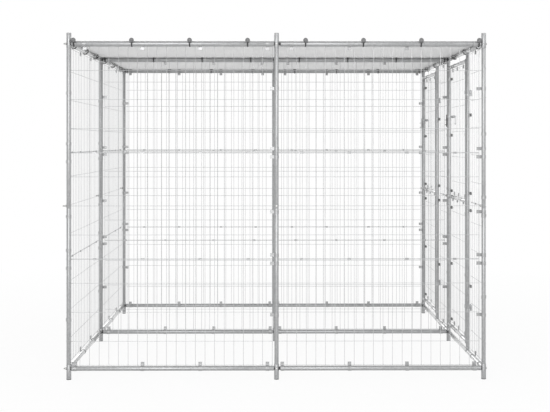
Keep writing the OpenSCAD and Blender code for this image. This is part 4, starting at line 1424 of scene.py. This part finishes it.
@dataclass(frozen=True)
class RoofCover:
    """Two sheets stretched over the top rails, each with a stitched hem and pressed eyelets."""

    layout: Layout
    thickness: float = 0.8 * MM
    rest_height: float = 14.2 * MM
    past: float = 2 * MM
    split: float = 1 * MM
    notch_r: float = 14.2 * MM
    notch_steps: int = 16
    eyelet_in: float = 8.2 * MM
    eyelet_r: float = 6 * MM
    eyelet_rim: float = 9.4 * MM
    eyelet_sides: int = 14
    eyelet_roll: float = 0.7 * MM
    eyelet_slack: float = 0.2 * MM
    eyelet_press: float = 0.1 * MM
    eyelet_lip: float = 0.3 * MM
    hem: float = 24 * MM
    hem_t: float = 0.7 * MM
    grid: float = 30 * MM
    sag: float = 9 * MM
    sag_run: float = 160 * MM
    sag_power: float = 0.6
    ripple: float = 1.1 * MM
    ripple_run: float = 40 * MM
    ripple_reach: float = 90 * MM
    ripple_end: float = 360 * MM
    ripple_folds: int = 7
    across_count: int = 8
    across_start: float = 26 * MM
    side_shares: tuple[float, ...] = (0.13, 0.465, 0.798)
    stitch: float = 3.4 * MM
    stitch_pitch: float = 6 * MM
    stitch_in: float = 3 * MM
    thread_r: float = 0.35 * MM
    thread_sides: int = 5

    def build(self) -> None:
        """Make the front sheet and the rear sheet with what is sewn to them."""
        for row, name in ((-1, "front"), (0, "rear")):
            self.sheet(name, row)

    def edges(self, row: int) -> tuple[float, float, float]:
        """Find the edges of a sheet.

        Args:
            row: -1 for the front sheet and 0 for the rear one, as in every method below.

        Returns:
            Its half width, and the places of its front and rear edges.
        """
        bay = self.layout.bay
        front = -bay - self.past if row == -1 else self.split
        rear = -self.split if row == -1 else bay + self.past
        return bay + self.past, front, rear

    def across(self) -> list[float]:
        """Return the places of the bungees along the front, middle and rear rails."""
        span = 2 * (self.layout.bay - self.across_start)
        return [-span / 2 + span * i / (self.across_count - 1) for i in range(self.across_count)]

    def eyelets(self, row: int) -> list[tuple[float, float]]:
        """Find the eyelets of a sheet.

        Args:
            row: The sheet.

        Returns:
            Their middles: those of the front and rear edges, then those of the sides.
        """
        bay = self.layout.bay
        front = row * bay
        side = bay - self.eyelet_in
        found = [(x, y) for x in self.across() for y in (front + self.eyelet_in, front + side)]
        return found + [(way * side, front + share * bay) for share in self.side_shares for way in (-1, 1)]

    def inset(self, x: float, y: float, row: int) -> float:
        """Return a point's distance from the nearest edge of its sheet."""
        half, front, rear = self.edges(row)
        return min(half - abs(x), y - front, rear - y)

    def lift(self, x: float, y: float, row: int) -> float:
        """Return the height of a sheet's underside at a point.

        Args:
            x: Place across the kennel.
            y: Place along it.
            row: The sheet.

        Returns:
            The height: level over the rails, hollow between them, and rippled from each eyelet.
        """
        half, front, rear = self.edges(row)
        inside = max(0.0, self.inset(x, y, row) - self.hem)
        bowl = math.cos(math.pi * x / (2 * half)) * math.sin(math.pi * (y - front) / (rear - front))
        hollow = self.sag * smooth(inside / self.sag_run) * max(0.0, bowl) ** self.sag_power
        height = self.layout.high_rail + self.rest_height - hollow
        start = min(1.0, inside / self.ripple_run)
        for ex, ey in self.eyelets(row):
            away = math.hypot(x - ex, y - ey)
            if away < self.ripple_end:
                fold = math.cos(self.ripple_folds * math.atan2(y - ey, x - ex))
                height += self.ripple * start * math.exp(-away / self.ripple_reach) * fold
        return height

    def outline(self, row: int) -> list[tuple[float, float]]:
        """Return a sheet's outline, against the clock, with a round notch at each of its six posts.

        Args:
            row: The sheet.

        Returns:
            The points of the six notches in order.
        """
        bay = self.layout.bay
        front_y = row * bay
        half, front, rear = self.edges(row)
        side, low, high = (
            math.degrees(math.asin(past / self.notch_r))
            for past in (half - bay, front_y - front, rear - front_y - bay)
        )
        notches = (
            (-bay, front_y, 90 + side, -low),
            (0.0, front_y, 180 + low, -low),
            (bay, front_y, 180 + low, 90 - side),
            (bay, front_y + bay, side - 90, -180 - high),
            (0.0, front_y + bay, high, -180 - high),
            (-bay, front_y + bay, high, -90 - side),
        )
        points = []
        for x, y, first, last in notches:
            points += [(x + dx, y + dy) for dx, dy in arc(self.notch_r, first, last, self.notch_steps)]
        return points

    def cloth(self, row: int) -> Shape:
        """Cut a sheet's outline with its eyelet holes into a grid, and hang it.

        Args:
            row: The sheet.

        Returns:
            The sheet's underside.
        """
        bm = bmesh.new()
        half, front, rear = self.edges(row)
        Forge.chain(bm, ((x, y, 0) for x, y in self.outline(row)), closed=True)
        for x, y in self.eyelets(row):
            bmesh.ops.create_circle(
                bm, cap_ends=False, segments=self.eyelet_sides, radius=self.eyelet_r, matrix=at(x, y)
            )
        bmesh.ops.remove_doubles(bm, verts=bm.verts[:], dist=MERGE)
        bmesh.ops.triangle_fill(bm, use_beauty=True, use_dissolve=False, edges=bm.edges[:], normal=(0, 0, 1))
        for low, high, normal in ((-half, half, Vector((1, 0, 0))), (front, rear, Vector((0, 1, 0)))):
            for cut in self.cuts(low, high):
                geom = [*bm.verts, *bm.edges, *bm.faces]
                bmesh.ops.bisect_plane(bm, geom=geom, dist=MERGE, plane_co=normal * cut, plane_no=normal)
        for vert in bm.verts:
            vert.co.z = self.lift(vert.co.x, vert.co.y, row)
        bm.normal_update()
        bmesh.ops.reverse_faces(bm, faces=[face for face in bm.faces if face.normal.z > 0])
        return bm

    def cuts(self, low: float, high: float) -> list[float]:
        """Space the grid lines between two edges.

        Args:
            low: Place of the first edge.
            high: Place of the second edge.

        Returns:
            The places of the lines, from one hem to the other.
        """
        low, high = low + self.hem, high - self.hem
        count = round((high - low) / self.grid)
        return [low + (high - low) * i / count for i in range(count + 1)]

    def sheet(self, name: str, row: int) -> None:
        """Args:
            name: The sheet's name.
            row: The sheet.
        """
        node = f"{name}_roof_sheet"
        cloth = self.cloth(row)
        area = sum(face.calc_area() for face in cloth.faces)
        band = cloth.copy()
        middles = {face: face.calc_center_median() for face in band.faces}
        inside = [face for face, middle in middles.items() if self.inset(middle.x, middle.y, row) >= self.hem]
        bmesh.ops.delete(band, geom=inside, context="FACES")
        bmesh.ops.translate(band, verts=band.verts[:], vec=(0, 0, self.thickness))
        made = self.layer(f"{node}_cloth", cloth, self.thickness, node)
        hem = self.layer(f"{node}_hem", band, self.hem_t)
        trims = [hem, self.stitches(node, row), self.grommets(node, row)]

    @staticmethod
    def layer(name: str, bm: Shape, thickness: float, *nodes: str) -> bpy.types.Object:
        """Return a layer of cloth, made by thickening its underside, which is used up."""
        bmesh.ops.solidify(bm, geom=bm.faces[:], thickness=thickness)
        return Piece(name).add(Forge.keep(bm)).deliver(ROOF_CLOTH, Body.FRAME, *nodes)

    def stitches(self, node: str, row: int) -> bpy.types.Object:
        """Make the row of stitches along the inner edge of a hem.

        Args:
            node: The sheet's CAD node.
            row: The sheet.

        Returns:
            The stitches.
        """
        half, front, rear = self.edges(row)
        inset = self.hem - self.stitch_in
        bm = bmesh.new()
        Forge.cone(bm, (self.thread_r, self.thread_r), self.stitch, self.thread_sides)
        stamp = Forge.keep(bm)
        piece = Piece(f"{node}_stitches")
        low, high = Vector((-half + inset, front + inset)), Vector((half - inset, rear - inset))
        places = [(x, y, ALONG_X) for y in (low.y, high.y) for x in self.seam(low.x, high.x)]
        places += [(x, y, ALONG_Y) for x in (low.x, high.x) for y in self.seam(low.y, high.y)]
        for x, y, turn in places:
            piece.add(stamp, at(x, y, self.lift(x, y, row) + self.thickness + self.hem_t) @ turn)
        return piece.deliver(ROOF_CLOTH, Body.FRAME)

    def seam(self, low: float, high: float) -> list[float]:
        """Return the places of the stitches between two corners of a hem."""
        count = int((high - low) / self.stitch_pitch)
        return [low + (i + 0.5) * self.stitch_pitch for i in range(count)]

    def grommets(self, node: str, row: int) -> bpy.types.Object:
        """Make the pressed eyelets of a sheet.

        Args:
            node: The sheet's CAD node.
            row: The sheet.

        Returns:
            The eyelets.
        """
        top = self.thickness + self.hem_t
        roll, slack, press, lip = self.eyelet_roll, self.eyelet_slack, self.eyelet_press, self.eyelet_lip
        inner, rim = self.eyelet_r + slack, self.eyelet_rim
        under = [(inner, -slack), (inner + roll, -roll), (rim, -lip), (rim, press), (inner + roll, press)]
        over = [(radius, top - height) for radius, height in reversed(under)]
        stamp = Forge.lathe(under + over, PIN_SIDES, closed=True)
        piece = Piece(f"{node}_eyelets")
        for x, y in self.eyelets(row):
            piece.add(stamp, at(x, y, self.lift(x, y, row)))
        return piece.deliver(FASTENER_ZINC, Body.FRAME)


@dataclass(frozen=True)
class BallBungees:
    """The ball bungees that hold the roof: two strands round the rail and a ball."""

    layout: Layout
    roof: RoofCover
    ball_r: float = 12.5 * MM
    cord_r: float = 1.7 * MM
    loop_r: float = 17.5 * MM
    hug_r: float = 14.5 * MM
    hug_from: float = 6 * MM
    hug_over: float = 16 * MM
    strand_gap: float = 3.7 * MM
    tilt: float = 47.0
    slip: float = 0.15 * MM
    seam: float = 0.25 * MM
    over_rise: float = 1 * MM
    cord_clear: float = 2 * MM
    tuck: float = 4.0
    hole_r: float = 3.2 * MM
    hole_depth: float = 5 * MM
    ball_steps: int = 12

    def build(self) -> None:
        """Place the bungees along the five top rails."""
        lay = self.layout
        cords, balls = Piece("bungee_cords"), Piece("bungee_ball_knobs")
        side_places = [(index + share) * lay.bay for index in range(2) for share in self.roof.side_shares]
        front_places = [x + lay.bay for x in self.roof.across()]
        for wall in Wall:
            over = wall is Wall.PARTITION
            strands, ball = self.cords(over), self.ball(over)
            for x in side_places if wall in (Wall.LEFT, Wall.RIGHT) else front_places:
                place = lay.in_wall(wall) @ at(x, 0, lay.high_rail)
                for strand in strands:
                    cords.add(strand, place)
                balls.add(ball, place)
        cords.deliver(CORD_BRAID, Body.FRAME, "bungee_loops")
        balls.deliver(BALL_PLASTIC, Body.FRAME, "bungee_balls")

    def reach(self, over: bool) -> tuple[float, float]:
        """Find a ball's place round its rail.

        Args:
            over: True for a ball that sits on top of the middle rail.

        Returns:
            Its distance from the rail's axis and its angle above the level, in degrees.
        """
        if over:
            return self.roof.rest_height + self.over_rise + self.layout.seat + self.ball_r, 90.0
        return self.layout.rail_r + self.ball_r + self.layout.seat, self.tilt

    def cords(self, over: bool) -> list[Mesh]:
        """Make the strands of a bungee, which start and end on its ball.

        Args:
            over: True for a bungee whose ball sits on top of the middle rail.

        Returns:
            The two strands.
        """
        reach, tilt = self.reach(over)
        touch = self.ball_r + self.slip + self.cord_clear
        apart = (self.loop_r**2 + reach**2 - touch**2) / (2 * self.loop_r * reach)
        half = math.degrees(math.acos(apart)) - self.tuck
        offsets = (-self.strand_gap / 2, self.strand_gap / 2)
        start, sweep = 180 - tilt + half, 360 - 2 * half
        return [self.hug(Forge.hoop(self.loop_r, self.cord_r, start, sweep, x)) for x in offsets]

    def hug(self, strand: Mesh) -> Mesh:
        """Draw a strand in against the rail below the sheet that it holds.

        Args:
            strand: The strand, which is changed.

        Returns:
            The strand.
        """
        for vert in strand.vertices:
            share = smooth((self.hug_from - vert.co.z) / self.hug_over)
            drawn = 1 - share * (self.loop_r - self.hug_r) / math.hypot(vert.co.y, vert.co.z)
            vert.co.y *= drawn
            vert.co.z *= drawn
        return strand

    def ball(self, over: bool) -> Mesh:
        """Make a ball with a moulding seam and a cord hole that faces the rail.

        Args:
            over: True for a ball that sits on top of the middle rail.

        Returns:
            The ball, placed round the rail's axis.
        """
        reach, tilt = self.reach(over)
        first = math.degrees(math.asin(self.hole_r / self.ball_r))
        shell = [(x, z) for z, x in arc(self.ball_r, first, 180, self.ball_steps)]
        shell[-1] = (0.0, -self.ball_r)
        middle = self.ball_steps // 2
        shell[middle] = (shell[middle][0] + self.seam, shell[middle][1])
        well = self.ball_r - self.hole_depth
        stamp = Forge.lathe([(0.0, well), (self.hole_r, well), *shell], PIN_SIDES)
        stamp.transform(turned(180 - tilt, "X") @ at(0, reach) @ turned(90, "X"))
        return stamp


@dataclass(frozen=True)
class DoorHinges:
    """Sizes of the pintles on the jambs and the eyes on the doors."""

    layout: Layout
    inset: float = 190 * MM
    out: float = 19 * MM
    pin_r: float = 4 * MM
    boss_r: float = 8 * MM
    band_slack: float = 0.2 * MM
    band_t: float = 2 * MM
    arm_width: float = 8 * MM
    arm_step: float = 1 * MM
    boss_height: float = 12 * MM
    pin_height: float = 23.7 * MM
    eye_height: float = 20 * MM
    bore_slack: float = 0.05 * MM
    pin_root: float = 1 * MM
    pin_lip: float = 1 * MM
    band_lip: float = 0.5 * MM
    lip: float = 0.6 * MM
    band_share: float = 0.7
    boss_share: float = 0.75

    @property
    def levels(self) -> list[float]:
        """Return the heights of the hinges."""
        rails = self.layout.door_rails
        return [rails[0] + self.inset, rails[-1] - self.inset]

    @property
    def turn(self) -> float:
        """Return the angle from the jamb to the hinge pin, in degrees."""
        return -math.degrees(math.atan2(self.out, self.layout.stile_gap / 2))

    def build(self) -> None:
        """Make the pintles of both doors; the eyes belong to the doors."""
        lay = self.layout
        pintles = Piece("pintle_brackets")
        foot = lay.seat + self.pin_root
        pin = Forge.rod(self.pin_r, self.pin_height + foot, self.pin_lip, PIN_SIDES)
        for index in range(2):
            for z in self.levels:
                place = lay.in_wall(Wall.RIGHT, index) @ at(lay.jamb_u, 0, z)
                band = place @ at(z=-self.boss_height - lay.seat)
                self.bracket(pintles, band, self.boss_height, self.turn, 0.0)
                pintles.add(pin, place @ at(lay.stile_gap / 2, -self.out, -foot))
        pintles.deliver(HINGE_ZINC, Body.FRAME, "hinge_pintles")

    def eyes(self, node: str, place: Matrix, body: Body) -> None:
        """Make the eyes of one door.

        Args:
            node: The CAD node that they stand for.
            place: The place of the door's hinge stile.
            body: The door.
        """
        piece = Piece(f"{node}_brackets")
        bore = self.pin_r + self.bore_slack
        for z in self.levels:
            self.bracket(piece, place @ at(z=z), self.eye_height, 180 - self.turn, bore)
        piece.deliver(HINGE_ZINC, body, node)

    def bracket(self, piece: Piece, place: Matrix, height: float, turn: float, bore: float) -> None:
        """Add a band round a tube with an arm and a boss.

        Args:
            piece: The piece that takes them.
            place: The place of the band's foot on the tube's axis.
            height: Height of the band and the boss.
            turn: Direction of the arm, in degrees.
            bore: Radius of the boss's bore, or 0 for a solid boss.
        """
        band = self.layout.post_r + self.band_slack + self.band_t
        reach = math.hypot(self.out, self.layout.stile_gap / 2)
        piece.add(Forge.tube(band, self.band_t, height, self.band_lip), place)
        half = self.arm_width / 2
        low = (band - self.band_share * self.band_t, -half, self.arm_step)
        high = (reach - self.boss_share * self.boss_r, half, height - self.arm_step)
        piece.add(Forge.block(low, high, self.lip), place @ turned(turn))
        if bore:
            boss = Forge.tube(self.boss_r, self.boss_r - bore, height, self.lip)
        else:
            boss = Forge.rod(self.boss_r, height, self.lip, ROD_SIDES)
        piece.add(boss, place @ turned(turn) @ at(reach))


@dataclass(frozen=True)
class SlideLatch:
    """Sizes of the slide latch: a guide on the door, a bolt with a handle, and a keeper on the post."""

    layout: Layout
    height: float = 1405 * MM
    out: float = 25 * MM
    bolt_r: float = 5 * MM
    wall: float = 2.7 * MM
    guide_slack: float = 0.3 * MM
    keeper_slack: float = 0.5 * MM
    guide_back: float = 30 * MM
    guide_front: float = 8 * MM
    tail: float = 73 * MM
    tip: float = 12 * MM
    handle_r: float = 4 * MM
    handle_drop: float = 45 * MM
    knob_r: float = 6 * MM
    keeper_half: float = 8 * MM
    plate_half: float = 10 * MM
    plate_t: float = 3 * MM
    plate_below: float = 62 * MM
    plate_above: float = 13 * MM
    plate_bevel: float = 0.8 * MM
    keeper_lip: float = 0.6 * MM
    keeper_share: float = 0.7
    guide_lip: float = 0.7 * MM
    guide_share: float = 0.8
    web_bevel: float = 0.6 * MM
    weld: float = 0.5 * MM
    band_slack: float = 0.2 * MM
    band_t: float = 2 * MM
    band_lip: float = 0.5 * MM
    band_share: float = 0.7
    bolt_lip: float = 1.2 * MM
    handle_lip: float = 0.4 * MM
    knob_rings: int = 12

    def build(self) -> None:
        """Make the keepers and backing plates on the posts that the bolts reach."""
        lay = self.layout
        keepers, plates = Piece("keeper_brackets"), Piece("keeper_backing_plates")
        near, far = lay.post_r + lay.seat, lay.post_r + lay.seat + self.plate_t
        tube_r = self.bolt_r + self.keeper_slack + self.wall
        low, high = self.height - self.plate_below, self.height + self.plate_above
        outside = Forge.block((-self.plate_half, -far, low), (self.plate_half, -near, high), self.plate_bevel)
        inside = Forge.block((-self.plate_half, near, low), (self.plate_half, far, high), self.plate_bevel)
        tube = Forge.tube(tube_r, self.wall, 2 * self.keeper_half, self.keeper_lip)
        half, rise = self.keeper_half - self.weld, self.keeper_share * tube_r
        start = -self.out + self.bolt_r + self.keeper_slack + self.weld
        web = Forge.block(
            (-half, start, self.height - rise), (half, -far + self.weld, self.height + rise), self.web_bevel
        )
        for index in range(1, 3):
            place = lay.in_wall(Wall.RIGHT, index)
            keepers.add(outside, place).add(web, place)
            keepers.add(tube, place @ at(-self.keeper_half, -self.out, self.height) @ ALONG_X)
            plates.add(inside, place)
        keepers.deliver(HINGE_ZINC, Body.FRAME, "latch_keepers")
        plates.deliver(LATCH_BLACK, Body.FRAME, "latch_backing_plates")

    def guide(self, node: str, place: Matrix, body: Body) -> None:
        """Make the guide on a door's latch stile.

        Args:
            node: The CAD node that it stands for.
            place: The place of the latch stile.
            body: The door.
        """
        tube_r = self.bolt_r + self.guide_slack + self.wall
        band = self.layout.post_r + self.band_slack + self.band_t
        place = place @ at(z=self.height)
        piece = Piece(f"{node}_bracket")
        piece.add(Forge.tube(band, self.band_t, 2 * tube_r, self.band_lip), place @ at(z=-tube_r))
        half = self.guide_share * tube_r
        start = -self.out + self.bolt_r + self.guide_slack + self.weld
        end = -band + self.band_share * self.band_t
        piece.add(Forge.block((-half, start, -half), (half, end, half), self.web_bevel), place)
        tube = Forge.tube(tube_r, self.wall, self.guide_back + self.guide_front, self.guide_lip)
        piece.add(tube, place @ at(-self.guide_back, -self.out) @ ALONG_X)
        piece.deliver(HINGE_ZINC, body, node)

    def bolt(self, node: str, place: Matrix, body: Body) -> None:
        """Make a bolt with its handle.

        Args:
            node: The CAD node that it stands for.
            place: The place of the latch stile.
            body: The bolt's own body.
        """
        place = place @ at(0, -self.out, self.height)
        piece = Piece(f"{node}_rod")
        rod = Forge.rod(self.bolt_r, self.tail + self.tip, self.bolt_lip, PIN_SIDES)
        piece.add(rod, place @ at(-self.tail) @ ALONG_X)
        grip = place @ at(-self.tail + self.handle_r, 0, -self.handle_drop)
        piece.add(Forge.rod(self.handle_r, self.handle_drop, self.handle_lip, HEAD_SIDES), grip)
        bm = bmesh.new()
        bmesh.ops.create_uvsphere(bm, u_segments=PIN_SIDES, v_segments=self.knob_rings, radius=self.knob_r)
        piece.add(Forge.keep(bm), grip)
        piece.deliver(BOLT_ZINC, body, node)


@dataclass(frozen=True)
class DoorLeaf:
    """A hinged door: a welded tube frame, two wire sheets, their clips, and what swings with it."""

    layout: Layout
    maker: ClipMaker
    hinges: DoorHinges
    latch: SlideLatch
    name: str
    index: int
    body: Body
    latch_body: Body
    drain_r: float = 2.5 * MM
    stile_lip: float = 1 * MM
    rail_bury: float = 2.2 * MM
    bead: Outline = ((-0.5 * MM, 0.0), (1.3 * MM, 0.0), (1 * MM, 2 * MM), (-0.3 * MM, 4.6 * MM))
    bead_back: float = 3 * MM
    clip_foot: float = 20 * MM
    clip_middle: float = -21 * MM
    clip_head: float = -58 * MM
    clip_gaps: tuple[int, ...] = (2, 6, 9)

    def build(self) -> None:
        """Make the door from its frame outwards."""
        place = self.layout.at_door(self.index)
        latch_stile = place @ at(self.layout.stile_span)
        self.tubes(place)
        self.sheets(place @ MIRROR_Y)
        self.clips(place @ MIRROR_Y)
        self.hinges.eyes(f"{self.name}_door_hinge_eyes", place, self.body)
        self.latch.guide(f"{self.name}_door_latch_guide", latch_stile, self.body)
        self.latch.bolt(f"{self.name}_latch_bolt", latch_stile, self.latch_body)

    def tubes(self, place: Matrix) -> None:
        """Make the stiles and rails, with a weld bead round each rail end.

        Args:
            place: The place of the hinge stile.
        """
        lay = self.layout
        rails = lay.door_rails
        start = rails[0] - lay.post_r
        length = rails[-1] - rails[0] + 2 * lay.post_r
        wall = lay.tube_wall
        inner, top = lay.post_r - wall, length - wall
        hollow = [(0, top), (inner, top), (inner, wall), (self.drain_r, wall), (self.drain_r, 0)]
        outside = Forge.side(lay.post_r, length, self.stile_lip)
        stile = Forge.lathe([*hollow, *outside, (0, length)], TUBE_SIDES)
        piece = Piece(f"{self.name}_door_stiles")
        for x in (0, lay.stile_span):
            piece.add(stile, place @ at(x, 0, start))
        root, weld = lay.post_r - self.rail_bury, lay.post_r - self.bead_back
        rail = Forge.tube(lay.door_rail_r, wall, lay.stile_span - 2 * root)
        bead = Forge.bead(lay.door_rail_r, self.bead, ROD_SIDES)
        level = Piece(f"{self.name}_door_rails")
        for z in rails:
            level.add(rail, place @ at(root, 0, z) @ ALONG_X)
            level.add(bead, place @ at(weld, 0, z) @ ALONG_X)
            level.add(bead, place @ at(lay.stile_span - weld, 0, z) @ MIRROR_X @ ALONG_X)
        piece.deliver(POST_ZINC, self.body, f"{self.name}_door_frame")
        # The door rails take the paler zinc copy too, whose lighter colour is a painted highlight.
        level.deliver(SIDE_RAIL_ZINC_PAINTED_HIGHLIGHT, self.body)

    def sheets(self, place: Matrix) -> None:
        """Make the two wire sheets.

        Args:
            place: The place of the hinge stile, with y out of the run.
        """
        lay = self.layout
        piece = Piece(f"{self.name}_door_wires")
        low, high = lay.panes[0]
        sheet = WireSheet(lay, lay.door_columns, high - low).stamp()
        for start, _ in lay.panes:
            piece.add(sheet, place @ at(lay.door_edge, 0, start))
        piece.deliver(WIRE_ZINC, self.body, f"{self.name}_door_mesh")

    def clips(self, place: Matrix) -> None:
        """Place the clips on the stiles and the rails, with their screws.

        Args:
            place: The place of the hinge stile, with y out of the run.
        """
        lay = self.layout
        clips, screws = Piece(f"{self.name}_door_straps"), Piece(f"{self.name}_door_screws")
        upright = ClipTray(self.maker.upright(lay.door_edge))
        level = ClipTray(self.maker.level(lay.door_rail_r), SWAP_XZ)
        for low, high in lay.panes:
            for z in (low + self.clip_foot, (low + high) / 2 + self.clip_middle, high + self.clip_head):
                upright.place(clips, screws, place @ at(z=z))
                upright.place(clips, screws, place @ at(lay.stile_span, 0, z) @ MIRROR_X)
        for gap in self.clip_gaps:
            x = lay.door_edge + lay.column * (gap + 0.5)
            for i in range(2):
                level.place(clips, screws, place @ at(x, 0, lay.door_rails[i]))
                level.place(clips, screws, place @ at(x + lay.column, 0, lay.door_rails[i + 1]) @ MIRROR_Z)
        clips.deliver(CLIP_ZINC, self.body, f"{self.name}_door_clips")
        screws.deliver(FASTENER_ZINC, self.body, f"{self.name}_door_clip_screws")


@dataclass(frozen=True)
class Studio:
    """The floor, the light and the camera of the photograph."""

    floor_half: float = 30.0
    floor_tone: float = 0.9
    floor_near: float = 0.9
    clear_from: float = 1.5
    clear_to: float = 4.5
    sky: float = 0.72
    camera_place: tuple[float, float, float] = (-0.051, -6.735, 1.245)
    camera_yaw: float = -0.0076
    lens: float = 70.3
    sensor: float = 36.0
    shift_y: float = -0.1158

    def build(self) -> None:
        """Make the stage and set the camera."""
        self.world()
        self.floor()
        self.lamp("key_light", (-1.4, -8.0, 2.2), (0.0, 0.0, 0.9), 3.5, 260.0)
        self.lamp("fill_light", (5.0, -4.0, 3.0), (0.0, 0.0, 0.9), 3.0, 60.0)
        self.lamp("back_light", (-3.0, 7.0, 4.0), (0.0, 0.0, 0.9), 3.5, 90.0)
        self.lamp("top_light", (0.0, 0.5, 5.5), (0.0, 0.0, 1.0), 3.5, 8.0)
        self.camera()
        bpy.context.scene.view_settings.view_transform = "Standard"

    @staticmethod
    def seen(tree: bpy.types.NodeTree) -> Socket:
        """Tell rays that show the background from rays that light the object.

        Args:
            tree: The node tree of the floor or the world.

        Returns:
            1 on rays of the first kind and 0 on the others.
        """
        path = tree.nodes.new("ShaderNodeLightPath")
        share = path.outputs["Is Camera Ray"]
        for name in ("Is Glossy Ray", "Is Transmission Ray"):
            larger = tree.nodes.new("ShaderNodeMath")
            larger.operation = "MAXIMUM"
            tree.links.new(share, larger.inputs[0])
            tree.links.new(path.outputs[name], larger.inputs[1])
            share = larger.outputs["Value"]
        return share

    def world(self) -> None:
        """Light the scene evenly, with a white background behind the floor."""
        world = bpy.data.worlds.new("studio")
        bpy.context.scene.world = world
        world.use_nodes = True
        tree = world.node_tree
        strength = tree.nodes.new("ShaderNodeMapRange")
        strength.inputs["To Min"].default_value = self.sky
        strength.inputs["To Max"].default_value = 1.0
        tree.links.new(self.seen(tree), strength.inputs["Value"])
        background = tree.nodes["Background"]
        background.inputs["Color"].default_value = (1, 1, 1, 1)
        tree.links.new(strength.outputs["Result"], background.inputs["Strength"])

    def floor(self) -> None:
        """Make a pale floor that keeps the kennel's shadow."""
        bm = bmesh.new()
        bmesh.ops.create_grid(bm, x_segments=1, y_segments=1, size=self.floor_half)
        mesh = bpy.data.meshes.new("studio_floor")
        bm.to_mesh(mesh)
        bm.free()
        floor = bpy.data.objects.new("studio_floor", mesh)
        bpy.context.scene.collection.objects.link(floor)
        graph = Graph("floor_white")
        tree = graph.tree
        graph.set(base_color=(self.floor_tone,) * 3 + (1.0,), roughness=0.9, specular_ior_level=0.0)
        glow = graph.add("ShaderNodeEmission", {"Color": (1, 1, 1, 1), "Strength": 1.0}).outputs["Emission"]
        away = graph.add("ShaderNodeVectorMath", {0: graph.place}, operation="LENGTH").outputs["Value"]
        white = graph.remap(away, self.floor_near, 1.0, self.clear_from, self.clear_to)
        share = graph.blend((self.seen(tree), white))
        inputs = {0: share, 1: graph.shader.outputs["BSDF"], 2: glow}
        mixed = graph.add("ShaderNodeMixShader", inputs).outputs["Shader"]
        tree.links.new(mixed, tree.nodes["Material Output"].inputs["Surface"])
        mesh.materials.append(graph.material)

    @staticmethod
    def lamp(name: str, place: Sequence[float], target: Sequence[float], size: float, power: float) -> None:
        """Add a square area lamp.

        Args:
            name: The lamp's name.
            place: Where it hangs.
            target: The point that it faces.
            size: Length of its side.
            power: Its power in watts.
        """
        data = bpy.data.lights.new(name, "AREA")
        data.size = size
        data.energy = power
        lamp = bpy.data.objects.new(name, data)
        lamp.location = place
        lamp.rotation_euler = (Vector(target) - Vector(place)).to_track_quat("-Z", "Y").to_euler()
        bpy.context.scene.collection.objects.link(lamp)

    def camera(self) -> None:
        """Set the camera where the photograph was taken."""
        data = bpy.data.cameras.new("photo_camera")
        data.lens = self.lens
        data.sensor_width = self.sensor
        data.shift_y = self.shift_y
        camera = bpy.data.objects.new("photo_camera", data)
        camera.location = self.camera_place
        camera.rotation_euler = (math.pi / 2, 0.0, self.camera_yaw)
        bpy.context.scene.collection.objects.link(camera)
        bpy.context.scene.camera = camera


def main() -> None:
    """Build the stage and every sub-assembly."""
    logging.basicConfig(level=logging.INFO, format="%(message)s")
    layout = Layout()
    maker = ClipMaker(layout)
    hinges = DoorHinges(layout)
    latch = SlideLatch(layout)
    roof = RoofCover(layout)
    Studio().build()
    FramePosts(layout).build()
    WallRails(layout).build()
    WireWalls(layout).build()
    WallClips(layout, maker).build()
    FrameBolts(layout).build()
    roof.build()
    BallBungees(layout, roof).build()
    hinges.build()
    latch.build()
    DoorLeaf(layout, maker, hinges, latch, "front", 0, Body.FRONT_DOOR, Body.FRONT_LATCH).build()
    DoorLeaf(layout, maker, hinges, latch, "rear", 1, Body.REAR_DOOR, Body.REAR_LATCH).build()


if __name__ == "__main__":
    main()
